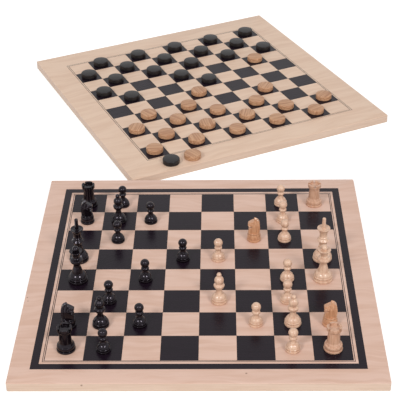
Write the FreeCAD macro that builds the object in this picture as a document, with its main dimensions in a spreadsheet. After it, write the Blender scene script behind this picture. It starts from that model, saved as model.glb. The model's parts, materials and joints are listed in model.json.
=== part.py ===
import FreeCAD
import Part
import Sketcher

import math
import os

# Chess and draughts set: two inlaid boards lying one behind the other, thirty-two turned
# chessmen standing on the front board and forty draughts lying on the rear one.
# Millimetres. The origin is the middle of the chess board's underside, +X to the right,
# +Y away from the player at the front edge and +Z up.

SIZES = {
    # Boards: core, edge lippings, backing sheet and face veneer
    "core_thickness": 12.0,
    "backing_thickness": 0.8,
    "veneer_thickness": 0.8,
    "lipping_width": 8.0,
    "glue_joint": 0.1,
    # Chess face: field of 8 by 8, two fine lines, a pale strip and a broad black band
    "chess_square": 50.0,
    "chess_line_inset": 1.0,
    "chess_line_width": 0.8,
    "chess_line_gap": 1.8,
    "chess_strip_width": 2.1,
    "chess_band_width": 10.4,
    "chess_margin_width": 27.1,
    # Draughts face: field of 10 by 10 inside two fine lines, on a board of the same side
    "draughts_line_width": 0.8,
    "draughts_line_gap": 2.0,
    "draughts_margin_width": 45.4,
    # The draughts board's near corner lies close behind the chess board
    "boards_gap": 0.5,
    # Draughts
    "draught_diameter": 28.5,
    "draught_thickness": 9.0,
    "draught_edge_radius": 1.6,
    # Pawn
    "pawn_base_diameter": 20.2,
    "pawn_foot_height": 12.6,
    "pawn_stem_diameter": 7.0,
    "pawn_collar_height": 22.0,
    "pawn_collar_diameter": 11.4,
    "pawn_ball_diameter": 12.8,
    "pawn_height": 35.1,
    # Bishop
    "bishop_base_diameter": 23.2,
    "bishop_foot_height": 14.2,
    "bishop_stem_diameter": 7.6,
    "bishop_collar_height": 29.4,
    "bishop_collar_diameter": 15.2,
    "bishop_head_diameter": 13.0,
    "bishop_ball_diameter": 6.7,
    "bishop_height": 48.4,
    # Queen
    "queen_base_diameter": 28.3,
    "queen_foot_height": 15.0,
    "queen_stem_diameter": 10.2,
    "queen_collar_height": 37.0,
    "queen_collar_diameter": 18.2,
    "queen_crown_diameter": 18.8,
    "queen_ball_diameter": 9.6,
    "queen_height": 58.6,
    # King
    "king_base_diameter": 28.2,
    "king_foot_height": 15.0,
    "king_stem_diameter": 10.8,
    "king_collar_height": 36.5,
    "king_collar_diameter": 17.6,
    "king_crown_diameter": 18.8,
    "king_peg_diameter": 5.2,
    "king_height": 70.8,
    # Rook
    "rook_base_diameter": 25.4,
    "rook_foot_height": 13.0,
    "rook_tower_diameter": 16.0,
    "rook_collar_height": 30.0,
    "rook_crown_diameter": 20.2,
    "rook_notch_width": 3.0,
    "rook_notch_depth": 3.4,
    "rook_height": 37.2,
    # Knight: a carved head with a tenon, glued into a turned base
    "knight_base_diameter": 21.4,
    "knight_foot_height": 14.0,
    "knight_head_length": 18.2,
    "knight_head_thickness": 11.0,
    "knight_tenon_diameter": 6.0,
    "knight_tenon_length": 5.0,
    "knight_glue_clearance": 0.15,
    "knight_height": 37.8,
    # Cuts run past the face that they open by this much
    "cut_overrun": 2.0,
}

CHESS_COUNT = 8
DRAUGHTS_COUNT = 10
ROOK_SAW_CUTS = 2

# Both boards have the side that the chess face needs, and the draughts squares fill what the
# draughts face leaves inside its margin and lines.
DERIVED_SIZES = {
    "board_half": (
        f"chess_square * {CHESS_COUNT / 2} + chess_line_inset + chess_line_width * 2 + chess_line_gap"
        " + chess_strip_width + chess_band_width + chess_margin_width"
    ),
    "draughts_square": (
        "(board_half - draughts_margin_width - draughts_line_width * 2 - draughts_line_gap)"
        f" / {DRAUGHTS_COUNT / 2}"
    ),
}

# The game as it stands, from the far row to the near one: black in small letters and white in
# capitals, with N for a knight.
CHESS_LAYOUT = [
    "rp....PR",
    "nbp...P.",
    ".p...NP.",
    "k..pP..K",
    "q.p...PQ",
    ".p..B.P.",
    "nbp..PBN",
    "rp....PR",
]

CHESSMAN_KINDS = {"r": "rook", "n": "knight", "b": "bishop", "k": "king", "q": "queen", "p": "pawn"}

DRAUGHTS_LAYOUT = [
    ".b.b.b.b.b",
    "b.b.b.b.b.",
    ".b.b.b.b.b",
    "b...b...w.",
    ".b...b....",
    "....w.....",
    ".w.w...w..",
    "w.w.w.w...",
    ".w.w.w.w.w",
    "w.w.w.w.w.",
]

DRAUGHTS_HOME_ROWS_COUNT = 3

# A knight's head looks along +X as drawn and is turned about its upright. A rook's saw cuts
# run along the board or slantwise to it, and the draughts board lies slantwise behind.
KNIGHT_TURNS = {"black": "0 deg", "white": "180 deg"}
ROOK_TURNS = {
    "black_rook_1": "45 deg",
    "black_rook_2": "45 deg",
    "white_rook_1": "0 deg",
    "white_rook_2": "45 deg",
}
DRAUGHTS_BOARD_TURN = "26 deg"

# The men were set down by hand, off the middles of their squares by these shares of a square,
# across and away.
STANDING_SHARES = {
    "black_rook_1": (-0.01, -0.07),
    "black_rook_2": (0.02, -0.04),
    "black_knight_1": (0.02, -0.02),
    "black_knight_2": (-0.02, -0.05),
    "black_bishop_1": (-0.02, 0.00),
    "black_bishop_2": (-0.15, -0.04),
    "black_king": (-0.04, 0.00),
    "black_queen": (0.03, -0.01),
    "black_pawn_1": (0.05, -0.11),
    "black_pawn_2": (-0.04, -0.03),
    "black_pawn_3": (0.03, -0.05),
    "black_pawn_4": (-0.01, 0.00),
    "black_pawn_5": (-0.05, 0.00),
    "black_pawn_6": (0.00, 0.00),
    "black_pawn_7": (-0.10, -0.02),
    "black_pawn_8": (0.01, -0.08),
    "white_rook_1": (0.00, -0.07),
    "white_rook_2": (0.02, -0.04),
    "white_knight_1": (0.08, 0.00),
    "white_knight_2": (0.02, 0.00),
    "white_bishop_1": (0.04, 0.00),
    "white_bishop_2": (0.02, 0.00),
    "white_king": (0.04, 0.00),
    "white_queen": (-0.02, 0.02),
    "white_pawn_1": (-0.04, -0.07),
    "white_pawn_2": (-0.02, 0.00),
    "white_pawn_3": (-0.01, -0.02),
    "white_pawn_4": (0.02, 0.00),
    "white_pawn_5": (-0.03, 0.00),
    "white_pawn_6": (-0.08, 0.00),
    "white_pawn_7": (0.03, 0.00),
    "white_pawn_8": (-0.04, -0.08),
}

# Captured draughts lie on the near margin, at these shares of the half board.
CAPTURED_DRAUGHTS_SHARES = {
    "black_draught_captured": (-0.68, -0.91),
    "white_draught_captured": (-0.52, -0.91),
}

CORNER = "corner"
THROUGH = "through"
BALL = "ball"

# Turned outlines run from the foot's rim up to the axis. A station names the zone that it lies
# in, its share of the zone's height, the diameter that it follows, its share of that radius, and
# its kind: a corner, a point that the arc between two corners passes through, or the corner
# where the ball on top begins, which lies on the ball.
FOOT_SHARES = [
    ("foot", 0.00, "base_diameter", 0.95, CORNER),
    ("foot", 0.13, "base_diameter", 1.00, THROUGH),
    ("foot", 0.25, "base_diameter", 0.97, CORNER),
    ("foot", 0.28, "base_diameter", 0.93, CORNER),
    ("foot", 0.33, "base_diameter", 0.92, CORNER),
    ("foot", 0.66, "base_diameter", 0.87, THROUGH),
    ("foot", 0.95, "base_diameter", 0.54, CORNER),
    ("foot", 1.00, "base_diameter", 0.48, CORNER),
]

TALL_FOOT_SHARES = [
    ("foot", 0.00, "base_diameter", 0.95, CORNER),
    ("foot", 0.13, "base_diameter", 1.00, THROUGH),
    ("foot", 0.25, "base_diameter", 0.97, CORNER),
    ("foot", 0.28, "base_diameter", 0.93, CORNER),
    ("foot", 0.32, "base_diameter", 0.92, CORNER),
    ("foot", 0.64, "base_diameter", 0.91, THROUGH),
    ("foot", 0.95, "base_diameter", 0.62, CORNER),
    ("foot", 1.00, "base_diameter", 0.57, CORNER),
]

PAWN_SHARES = FOOT_SHARES + [
    ("stem", 0.20, "stem_diameter", 1.12, THROUGH),
    ("stem", 0.46, "stem_diameter", 1.00, CORNER),
    ("stem", 0.58, "collar_diameter", 0.77, THROUGH),
    ("stem", 0.68, "collar_diameter", 0.94, CORNER),
    ("stem", 0.80, "collar_diameter", 1.00, THROUGH),
    ("stem", 1.00, "collar_diameter", 0.87, CORNER),
    ("head", 0.04, "ball_diameter", 0.64, CORNER),
    ("head", 0.12, "ball_diameter", None, BALL),
]

BISHOP_SHARES = FOOT_SHARES + [
    ("stem", 0.26, "stem_diameter", 1.08, THROUGH),
    ("stem", 0.50, "stem_diameter", 1.04, CORNER),
    ("stem", 0.68, "collar_diameter", 0.87, THROUGH),
    ("stem", 0.88, "collar_diameter", 1.00, CORNER),
    ("stem", 0.95, "collar_diameter", 0.97, THROUGH),
    ("stem", 1.00, "collar_diameter", 0.88, CORNER),
    ("head", 0.05, "head_diameter", 0.78, CORNER),
    ("head", 0.13, "head_diameter", 0.80, CORNER),
    ("head", 0.22, "head_diameter", 0.93, THROUGH),
    ("head", 0.38, "head_diameter", 1.00, CORNER),
    ("head", 0.54, "head_diameter", 0.84, THROUGH),
    ("head", 0.66, "ball_diameter", 1.02, CORNER),
    ("head", 0.70, "ball_diameter", None, BALL),
]

QUEEN_SHARES = TALL_FOOT_SHARES + [
    ("stem", 0.22, "stem_diameter", 1.29, THROUGH),
    ("stem", 0.46, "stem_diameter", 1.00, CORNER),
    ("stem", 0.66, "stem_diameter", 1.10, THROUGH),
    ("stem", 0.80, "collar_diameter", 0.94, CORNER),
    ("stem", 0.90, "collar_diameter", 1.00, THROUGH),
    ("stem", 1.00, "collar_diameter", 0.92, CORNER),
    ("head", 0.05, "crown_diameter", 0.62, CORNER),
    ("head", 0.09, "crown_diameter", 0.66, THROUGH),
    ("head", 0.13, "crown_diameter", 0.62, CORNER),
    ("head", 0.16, "crown_diameter", 0.54, CORNER),
    ("head", 0.42, "crown_diameter", 0.64, THROUGH),
    ("head", 0.62, "crown_diameter", 1.00, CORNER),
    ("head", 0.66, "crown_diameter", 0.97, CORNER),
    ("head", 0.66, "crown_diameter", 0.86, CORNER),
    ("head", 0.64, "crown_diameter", 0.62, THROUGH),
    ("head", 0.635, "ball_diameter", 0.80, CORNER),
    ("head", 0.645, "ball_diameter", None, BALL),
]

KING_SHARES = TALL_FOOT_SHARES + [
    ("stem", 0.22, "stem_diameter", 1.28, THROUGH),
    ("stem", 0.52, "stem_diameter", 1.00, CORNER),
    ("stem", 0.70, "stem_diameter", 1.14, THROUGH),
    ("stem", 0.84, "collar_diameter", 0.97, CORNER),
    ("stem", 0.88, "collar_diameter", 1.00, CORNER),
    ("stem", 1.00, "collar_diameter", 0.72, CORNER),
    ("head", 0.03, "crown_diameter", 0.62, CORNER),
    ("head", 0.055, "crown_diameter", 0.68, THROUGH),
    ("head", 0.08, "crown_diameter", 0.62, CORNER),
    ("head", 0.10, "crown_diameter", 0.57, CORNER),
    ("head", 0.30, "crown_diameter", 0.65, THROUGH),
    ("head", 0.49, "crown_diameter", 1.00, CORNER),
    ("head", 0.52, "crown_diameter", 0.97, CORNER),
    ("head", 0.52, "crown_diameter", 0.88, CORNER),
    ("head", 0.495, "crown_diameter", 0.60, THROUGH),
    ("head", 0.51, "peg_diameter", 1.10, CORNER),
    ("head", 0.96, "peg_diameter", 0.98, CORNER),
    ("head", 0.985, "peg_diameter", 0.88, THROUGH),
    ("head", 1.00, "peg_diameter", 0.60, CORNER),
    ("head", 1.00, None, 0.00, CORNER),
]

ROOK_SHARES = [
    ("foot", 0.00, "base_diameter", 0.95, CORNER),
    ("foot", 0.12, "base_diameter", 1.00, THROUGH),
    ("foot", 0.26, "base_diameter", 0.97, CORNER),
    ("foot", 0.29, "base_diameter", 0.93, CORNER),
    ("foot", 0.34, "base_diameter", 0.93, CORNER),
    ("foot", 0.52, "base_diameter", 0.95, THROUGH),
    ("foot", 0.70, "base_diameter", 0.90, CORNER),
    ("foot", 0.73, "base_diameter", 0.86, CORNER),
    ("foot", 0.84, "base_diameter", 0.76, THROUGH),
    ("foot", 1.00, "tower_diameter", 1.08, CORNER),
    ("stem", 0.94, "tower_diameter", 0.96, CORNER),
    ("stem", 1.00, "tower_diameter", 1.02, CORNER),
    ("head", 0.06, "tower_diameter", 1.02, CORNER),
    ("head", 0.26, "crown_diameter", 0.98, CORNER),
    ("head", 1.00, "crown_diameter", 1.00, CORNER),
    ("head", 1.00, "crown_diameter", 0.70, CORNER),
    ("head", 0.56, "crown_diameter", 0.66, CORNER),
    ("head", 0.56, None, 0.00, CORNER),
]

KNIGHT_BASE_SHARES = [
    ("foot", 0.00, "base_diameter", 0.95, CORNER),
    ("foot", 0.12, "base_diameter", 1.00, THROUGH),
    ("foot", 0.26, "base_diameter", 0.97, CORNER),
    ("foot", 0.29, "base_diameter", 0.92, CORNER),
    ("foot", 0.34, "base_diameter", 0.92, CORNER),
    ("foot", 0.58, "base_diameter", 0.93, THROUGH),
    ("foot", 0.82, "base_diameter", 0.85, CORNER),
    ("foot", 0.85, "base_diameter", 0.80, CORNER),
    ("foot", 0.90, "base_diameter", 0.80, CORNER),
    ("foot", 0.95, "base_diameter", 0.84, THROUGH),
    ("foot", 1.00, "base_diameter", 0.80, CORNER),
    ("foot", 1.00, None, 0.00, CORNER),
]

OUTLINES = {
    "pawn": PAWN_SHARES,
    "bishop": BISHOP_SHARES,
    "queen": QUEEN_SHARES,
    "king": KING_SHARES,
    "rook": ROOK_SHARES,
    "knight": KNIGHT_BASE_SHARES,
}

# Side view of the knight's head: shares of its length, from the upright through the middle
# towards the muzzle, and of its height above the turned base.
KNIGHT_SIDE_SHARES = [
    (-0.38, 0.00, CORNER),
    (0.37, 0.00, CORNER),
    (0.45, 0.16, THROUGH),
    (0.31, 0.36, CORNER),
    (0.12, 0.44, CORNER),
    (0.14, 0.49, CORNER),
    (0.38, 0.45, CORNER),
    (0.50, 0.58, THROUGH),
    (0.38, 0.71, CORNER),
    (0.02, 0.87, CORNER),
    (-0.03, 1.00, CORNER),
    (-0.32, 0.86, THROUGH),
    (-0.46, 0.58, CORNER),
    (-0.47, 0.28, THROUGH),
]

# Front view: half widths of the head, as shares of its thickness, at shares of its height.
KNIGHT_BROW_SHARES = (0.50, 0.50)
KNIGHT_EAR_SHARES = (0.24, 1.00)

doc = FreeCAD.newDocument("ChessAndDraughtsSet")
sheet = doc.addObject("Spreadsheet::Sheet", "Sizes")
for row, (alias, value) in enumerate(SIZES.items(), start=1):
    sheet.set(f"A{row}", alias)
    sheet.set(f"B{row}", str(value))
    sheet.setAlias(f"B{row}", alias)
for row, (alias, formula) in enumerate(DERIVED_SIZES.items(), start=len(SIZES) + 1):
    sheet.set(f"A{row}", alias)
    sheet.set(f"B{row}", f"={formula}")
    sheet.setAlias(f"B{row}", alias)
doc.recompute()

# How a sketch numbers its own origin and axes, and the points of a curve
ORIGIN_INDEX = -1
HORIZONTAL_AXIS_INDEX = -1
VERTICAL_AXIS_INDEX = -2
START_INDEX = 1
END_INDEX = 2
CENTRE_INDEX = 3

SQUARE_UP = FreeCAD.Vector(0, 0, 1)
SHARE_DIGITS = 3

CHESS_FIELD = f"Sizes.chess_square * {CHESS_COUNT / 2}"
DRAUGHTS_FIELD = f"Sizes.draughts_square * {DRAUGHTS_COUNT / 2}"
BOARD_HALF = "Sizes.board_half"
CORE_LEVEL = "Sizes.backing_thickness"
VENEER_LEVEL = "(Sizes.backing_thickness + Sizes.core_thickness)"
PLAY_LEVEL = f"({VENEER_LEVEL} + Sizes.veneer_thickness)"
DRAUGHTS_BOARD_REACH = f"({BOARD_HALF}) * (sin({DRAUGHTS_BOARD_TURN}) + cos({DRAUGHTS_BOARD_TURN}))"
DRAUGHTS_BOARD_Y = f"{BOARD_HALF} + Sizes.boards_gap + {DRAUGHTS_BOARD_REACH}"

sub_parts = []
cuts = []


def number(expression):
    """Value of an expression over the sheet."""
    return float(sheet.evalExpression(expression))


def bind(item, **expressions):
    """Bind properties of a document object to expressions over the sheet."""
    for name, expression in expressions.items():
        item.setExpression(name, expression)


def new_body(label):
    """Empty body, noted as a sub-part under its label."""
    body = doc.addObject("PartDesign::Body", label)
    body.Label = label
    body.AllowCompound = True
    sub_parts.append(body)
    return body


def stand(body, x="0", y="0", z="0", turn=None):
    """Bind a body's place, and its turn about the upright where it has one."""
    if turn:
        body.Placement.Rotation = FreeCAD.Rotation(SQUARE_UP, number(turn))
        body.setExpression("Placement.Rotation.Angle", turn)
    for axis, expression in (("x", x), ("y", y), ("z", z)):
        body.setExpression(f"Placement.Base.{axis}", expression)


def stand_on_chess_board(body, level):
    """Lay a sheet of the chess board at its level."""
    stand(body, z=level)


def stand_on_draughts_board(body, level):
    """Lay a sheet of the draughts board, or what lies on it, at its level."""
    stand(body, y=DRAUGHTS_BOARD_Y, z=level, turn=DRAUGHTS_BOARD_TURN)


class Drawing:
    """A sketch on one of its body's own planes, with every point held by the sheet."""

    def __init__(self, body, plane_role):
        self.sketch = body.newObject("Sketcher::SketchObject", f"{body.Name}Sketch")
        planes = {plane.Role: plane for plane in body.Origin.OriginFeatures}
        self.sketch.AttachmentSupport = (planes[plane_role], "")
        self.sketch.MapMode = "FlatFace"
        self.constraints = []
        self.bindings = {}

    def add(self, *arguments):
        """Note a constraint and give its place in the list."""
        self.constraints.append(Sketcher.Constraint(*arguments))
        return len(self.constraints) - 1

    def measure(self, expression, *arguments):
        """Note a dimension that follows an expression."""
        index = self.add(*arguments, number(expression))
        self.bindings[index] = expression

    def hold(self, curve, end, x, y):
        """Hold a point at two expressions, either of which may be "0" or left open as None."""
        across = ("DistanceX", VERTICAL_AXIS_INDEX, x)
        away = ("DistanceY", HORIZONTAL_AXIS_INDEX, y)
        for kind, axis, expression in (across, away):
            if expression is None:
                continue
            if expression == "0":
                self.add("PointOnObject", curve, end, axis)
            elif number(expression) > 0:
                self.measure(expression, kind, ORIGIN_INDEX, START_INDEX, curve, end)
            else:
                self.measure(f"-({expression})", kind, curve, end, ORIGIN_INDEX, START_INDEX)

    def loop(self, stations):
        """Closed outline through stations of x, y and kind, with a corner first."""
        corners = [index for index, station in enumerate(stations) if station[2] != THROUGH]
        pieces = []
        for order, index in enumerate(corners):
            following = corners[(order + 1) % len(corners)]
            start = stations[index]
            finish = stations[following]
            passes = stations[index + 1] if (index + 1) % len(stations) != following else None
            if start[2] == BALL:
                pieces.append(self.ball(start, finish))
            elif passes:
                pieces.append(self.arc(start, passes, finish))
            else:
                curve = self.sketch.addGeometry(Part.LineSegment(spot(start), spot(finish)))
                pieces.append((curve, START_INDEX, END_INDEX))
            self.hold(pieces[-1][0], pieces[-1][1], start[0], start[1])
        for (curve, _, finish), (next_curve, next_start, _) in zip(pieces, pieces[1:] + pieces[:1]):
            self.add("Coincident", curve, finish, next_curve, next_start)

    def arc(self, start, passes, finish):
        """Arc between two corners through a held point."""
        across = Part.Circle(spot(start), spot(passes), spot(finish))
        turns_left = (spot(passes) - spot(start)).cross(spot(finish) - spot(passes)).z > 0
        first, last = (start, finish) if turns_left else (finish, start)
        curve = self.curve_between(across.Center, across.Radius, spot(first), spot(last))
        point = self.sketch.addGeometry(Part.Point(spot(passes)), True)
        self.hold(point, START_INDEX, passes[0], passes[1])
        self.add("PointOnObject", point, START_INDEX, curve)
        return (curve, START_INDEX, END_INDEX) if turns_left else (curve, END_INDEX, START_INDEX)

    def ball(self, start, finish):
        """Ball on the axis, from the corner where it leaves the neck up to its top."""
        diameter = start[3]
        radius = number(diameter) / 2
        top = spot(finish)
        centre = top - FreeCAD.Vector(0, radius, 0)
        rise = number(start[1]) - centre.y
        neck = centre + FreeCAD.Vector(math.sqrt(radius ** 2 - rise ** 2), rise, 0)
        curve = self.curve_between(centre, radius, neck, top)
        self.add("PointOnObject", curve, CENTRE_INDEX, VERTICAL_AXIS_INDEX)
        self.measure(f"{diameter} / 2", "Radius", curve)
        return (curve, START_INDEX, END_INDEX)

    def curve_between(self, centre, radius, first, last):
        """Arc of a circle that turns left from one point to another."""
        angles = [math.atan2(point.y - centre.y, point.x - centre.x) for point in (first, last)]
        circle = Part.Circle(centre, SQUARE_UP, radius)
        return self.sketch.addGeometry(Part.ArcOfCircle(circle, angles[0], angles[1]))

    def rectangle(self, left, right, near, far):
        """Rectangle between four expressions."""
        self.loop([(left, near, CORNER), (right, near, CORNER), (right, far, CORNER), (left, far, CORNER)])

    def centred_square(self, half):
        """Square about the origin, of a given half side."""
        self.rectangle(f"-({half})", half, f"-({half})", half)

    def circle(self, x, y, diameter):
        """Circle about a held centre."""
        centre = FreeCAD.Vector(number(x), number(y), 0)
        curve = self.sketch.addGeometry(Part.Circle(centre, SQUARE_UP, number(diameter) / 2))
        self.hold(curve, CENTRE_INDEX, x, y)
        self.measure(diameter, "Diameter", curve)

    def finish(self):
        """Write the constraints into the sketch and bind its dimensions."""
        self.sketch.addConstraint(self.constraints)
        for index, expression in self.bindings.items():
            self.sketch.setExpression(f"Constraints[{index}]", expression)
        return self.sketch


def spot(station):
    """Point of a station as drawn; a corner on a ball is drawn on the axis until it is held."""
    x, y = (0 if expression is None else number(expression) for expression in station[:2])
    return FreeCAD.Vector(x, y, 0)


def pad(body, drawing, length):
    """Raise a sketch by an expression."""
    feature = body.newObject("PartDesign::Pad", f"{body.Name}Pad")
    feature.Profile = drawing.finish()
    bind(feature, Length=length)
    return feature


def sheet_body(label, half, thickness):
    """Square sheet of a given half side."""
    body = new_body(label)
    drawing = Drawing(body, "XY_Plane")
    drawing.centred_square(half)
    pad(body, drawing, thickness)
    return body


def frames_body(label, edges):
    """Nested square frames of veneer, each between an inner and an outer half side."""
    body = new_body(label)
    drawing = Drawing(body, "XY_Plane")
    for inner, outer in edges:
        drawing.centred_square(inner)
        drawing.centred_square(outer)
    pad(body, drawing, "Sizes.veneer_thickness")
    return body


def lippings_body(label):
    """Four solid wood strips around the core: two full-length ones and two between them."""
    body = new_body(label)
    inner = f"({BOARD_HALF} - Sizes.lipping_width)"
    drawing = Drawing(body, "XY_Plane")
    drawing.rectangle(f"-({BOARD_HALF})", BOARD_HALF, f"-({BOARD_HALF})", f"-{inner}")
    drawing.rectangle(f"-({BOARD_HALF})", BOARD_HALF, inner, BOARD_HALF)
    butt = f"({inner} - Sizes.glue_joint)"
    drawing.rectangle(f"-({BOARD_HALF})", f"-{inner}", f"-{butt}", butt)
    drawing.rectangle(inner, BOARD_HALF, f"-{butt}", butt)
    pad(body, drawing, "Sizes.core_thickness")
    return body


def squares_body(label, square, count, first_columns):
    """Every second square of a field, as tiles a glue joint apart.

    The near two rows hold one tile each, in the columns given, and repeat across the field."""
    body = new_body(label)
    drawing = Drawing(body, "XY_Plane")
    joint = "Sizes.glue_joint / 2"
    for row, column in enumerate(first_columns):
        left = column - count / 2
        near = row - count / 2
        drawing.rectangle(
            f"{square} * {left} + {joint}",
            f"{square} * {left + 1} - {joint}",
            f"{square} * {near} + {joint}",
            f"{square} * {near + 1} - {joint}",
        )
    tiles = pad(body, drawing, "Sizes.veneer_thickness")
    pattern = body.newObject("PartDesign::LinearPattern", f"{body.Name}Pattern")
    pattern.Originals = [tiles]
    pattern.Direction = (drawing.sketch, ["H_Axis"])
    pattern.Direction2 = (drawing.sketch, ["V_Axis"])
    pattern.Occurrences = count // 2
    pattern.Occurrences2 = count // 2
    bind(pattern, Length=f"{square} * {count - 2}", Length2=f"{square} * {count - 2}")
    body.Tip = pattern
    return body


def chess_board():
    """Chess board: core, lippings, backing and the inlaid face."""
    first_line = f"({CHESS_FIELD} + Sizes.chess_line_inset)"
    first_line_end = f"({first_line} + Sizes.chess_line_width)"
    second_line = f"({first_line_end} + Sizes.chess_line_gap)"
    second_line_end = f"({second_line} + Sizes.chess_line_width)"
    band = f"({second_line_end} + Sizes.chess_strip_width)"
    band_end = f"({band} + Sizes.chess_band_width)"
    core_half = f"({BOARD_HALF} - Sizes.lipping_width)"
    pale = [
        (CHESS_FIELD, first_line),
        (first_line_end, second_line),
        (second_line_end, band),
        (band_end, BOARD_HALF),
    ]
    black = [(first_line, first_line_end), (second_line, second_line_end), (band, band_end)]
    stand_on_chess_board(sheet_body("chess_board_backing", BOARD_HALF, "Sizes.backing_thickness"), "0")
    stand_on_chess_board(sheet_body("chess_board_core", core_half, "Sizes.core_thickness"), CORE_LEVEL)
    stand_on_chess_board(lippings_body("chess_board_lippings"), CORE_LEVEL)
    stand_on_chess_board(frames_body("chess_board_pale_border", pale), VENEER_LEVEL)
    stand_on_chess_board(frames_body("chess_board_black_border", black), VENEER_LEVEL)
    for label, first_columns in (("chess_light_squares", (0, 1)), ("chess_dark_squares", (1, 0))):
        tiles = squares_body(label, "Sizes.chess_square", CHESS_COUNT, first_columns)
        stand_on_chess_board(tiles, VENEER_LEVEL)


def draughts_board():
    """Draughts board: core, lippings, backing and the inlaid face."""
    first_line_end = f"({DRAUGHTS_FIELD} + Sizes.draughts_line_width)"
    second_line = f"({first_line_end} + Sizes.draughts_line_gap)"
    second_line_end = f"({second_line} + Sizes.draughts_line_width)"
    core_half = f"({BOARD_HALF} - Sizes.lipping_width)"
    pale = [(first_line_end, second_line), (second_line_end, BOARD_HALF)]
    black = [(DRAUGHTS_FIELD, first_line_end), (second_line, second_line_end)]
    stand_on_draughts_board(sheet_body("draughts_board_backing", BOARD_HALF, "Sizes.backing_thickness"), "0")
    stand_on_draughts_board(sheet_body("draughts_board_core", core_half, "Sizes.core_thickness"), CORE_LEVEL)
    stand_on_draughts_board(lippings_body("draughts_board_lippings"), CORE_LEVEL)
    stand_on_draughts_board(frames_body("draughts_board_pale_border", pale), VENEER_LEVEL)
    stand_on_draughts_board(frames_body("draughts_board_lines", black), VENEER_LEVEL)
    for label, first_columns in (("draughts_light_squares", (1, 0)), ("draughts_dark_squares", (0, 1))):
        tiles = squares_body(label, "Sizes.draughts_square", DRAUGHTS_COUNT, first_columns)
        stand_on_draughts_board(tiles, VENEER_LEVEL)


def turned_stations(kind):
    """Outline of a turned chessman from the middle of its foot to its top, as expressions."""
    levels = {
        "foot": ("0", f"Sizes.{kind}_foot_height"),
        "stem": (f"Sizes.{kind}_foot_height", f"Sizes.{kind}_collar_height"),
        "head": (f"Sizes.{kind}_collar_height", f"Sizes.{kind}_height"),
    }
    stations = [("0", "0", CORNER)]
    for zone, height_share, diameter, radius_share, point_kind in OUTLINES[kind]:
        low, high = levels[zone]
        y = "0" if zone == "foot" and height_share == 0 else f"{low} + ({high} - {low}) * {height_share}"
        if point_kind == BALL:
            stations.append((None, y, BALL, f"Sizes.{kind}_{diameter}"))
            stations.append(("0", f"Sizes.{kind}_height", CORNER))
        elif diameter is None:
            stations.append(("0", y, point_kind))
        else:
            stations.append((f"Sizes.{kind}_{diameter} / 2 * {radius_share}", y, point_kind))
    return stations


def turned_body(label, kind):
    """Chessman turned from one piece of wood."""
    body = new_body(label)
    drawing = Drawing(body, "XZ_Plane")
    drawing.loop(turned_stations(kind))
    feature = body.newObject("PartDesign::Revolution", f"{body.Name}Turning")
    feature.Profile = drawing.finish()
    feature.ReferenceAxis = (drawing.sketch, ["V_Axis"])
    return body


def saw_crown(body):
    """Saw the notches of a rook's crown right across it."""
    whole = body.Tip
    drawing = Drawing(body, "XZ_Plane")
    floor = "Sizes.rook_height - Sizes.rook_notch_depth"
    ceiling = "Sizes.rook_height + Sizes.cut_overrun"
    half = "Sizes.rook_notch_width / 2"
    drawing.rectangle(f"-({half})", half, floor, ceiling)
    cut = body.newObject("PartDesign::Pocket", f"{body.Name}SawCut")
    cut.Profile = drawing.finish()
    cut.SideType = "Symmetric"
    bind(cut, Length="Sizes.rook_crown_diameter + Sizes.cut_overrun")
    pattern = body.newObject("PartDesign::PolarPattern", f"{body.Name}Notches")
    pattern.Originals = [cut]
    pattern.Axis = (drawing.sketch, ["V_Axis"])
    pattern.Occurrences = ROOK_SAW_CUTS
    pattern.Angle = 360 / ROOK_SAW_CUTS / 2
    body.Tip = pattern
    cuts.append((whole, pattern))


def bore_knight_base(body):
    """Sink the blind hole that takes the head's tenon."""
    whole = body.Tip
    drawing = Drawing(body, "XZ_Plane")
    radius = "(Sizes.knight_tenon_diameter / 2 + Sizes.knight_glue_clearance)"
    floor = "Sizes.knight_foot_height - Sizes.knight_tenon_length - Sizes.knight_glue_clearance"
    ceiling = "Sizes.knight_foot_height + Sizes.cut_overrun"
    drawing.rectangle("0", radius, floor, ceiling)
    hole = body.newObject("PartDesign::Groove", f"{body.Name}TenonHole")
    hole.Profile = drawing.finish()
    hole.ReferenceAxis = (drawing.sketch, ["V_Axis"])
    cuts.append((whole, hole))


def knight_head(label):
    """Carved head: a sawn side view, thinned towards the ears, on a round tenon."""
    body = new_body(label)
    length = "Sizes.knight_head_length"
    height = "(Sizes.knight_height - Sizes.knight_foot_height)"
    thickness = "Sizes.knight_head_thickness"
    side = Drawing(body, "XZ_Plane")
    stations = []
    for length_share, height_share, kind in KNIGHT_SIDE_SHARES:
        y = f"{height} * {height_share}" if height_share else "0"
        stations.append((f"{length} * {length_share}", y, kind))
    side.loop(stations)
    blank = pad(body, side, thickness)
    blank.SideType = "Symmetric"

    front = Drawing(body, "YZ_Plane")
    above = f"{height} + Sizes.cut_overrun"
    for sign in ("", "-"):
        out = f"{sign}({thickness} / 2 + Sizes.cut_overrun)"
        brow = f"{sign}({thickness} * {KNIGHT_BROW_SHARES[0]})"
        ear = f"{sign}({thickness} * {KNIGHT_EAR_SHARES[0]})"
        brow_level = f"{height} * {KNIGHT_BROW_SHARES[1]}"
        ear_level = f"{height} * {KNIGHT_EAR_SHARES[1]}"
        front.loop(
            [
                (brow, brow_level, CORNER),
                (out, brow_level, CORNER),
                (out, above, CORNER),
                (ear, above, CORNER),
                (ear, ear_level, CORNER),
            ]
        )
    thinning = body.newObject("PartDesign::Pocket", f"{body.Name}Thinning")
    thinning.Profile = front.finish()
    thinning.SideType = "Symmetric"
    bind(thinning, Length=f"{length} + Sizes.cut_overrun")
    cuts.append((blank, thinning))

    tenon = Drawing(body, "XY_Plane")
    tenon.circle("0", "0", "Sizes.knight_tenon_diameter")
    peg = pad(body, tenon, "Sizes.knight_tenon_length")
    peg.Reversed = True
    return body


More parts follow.
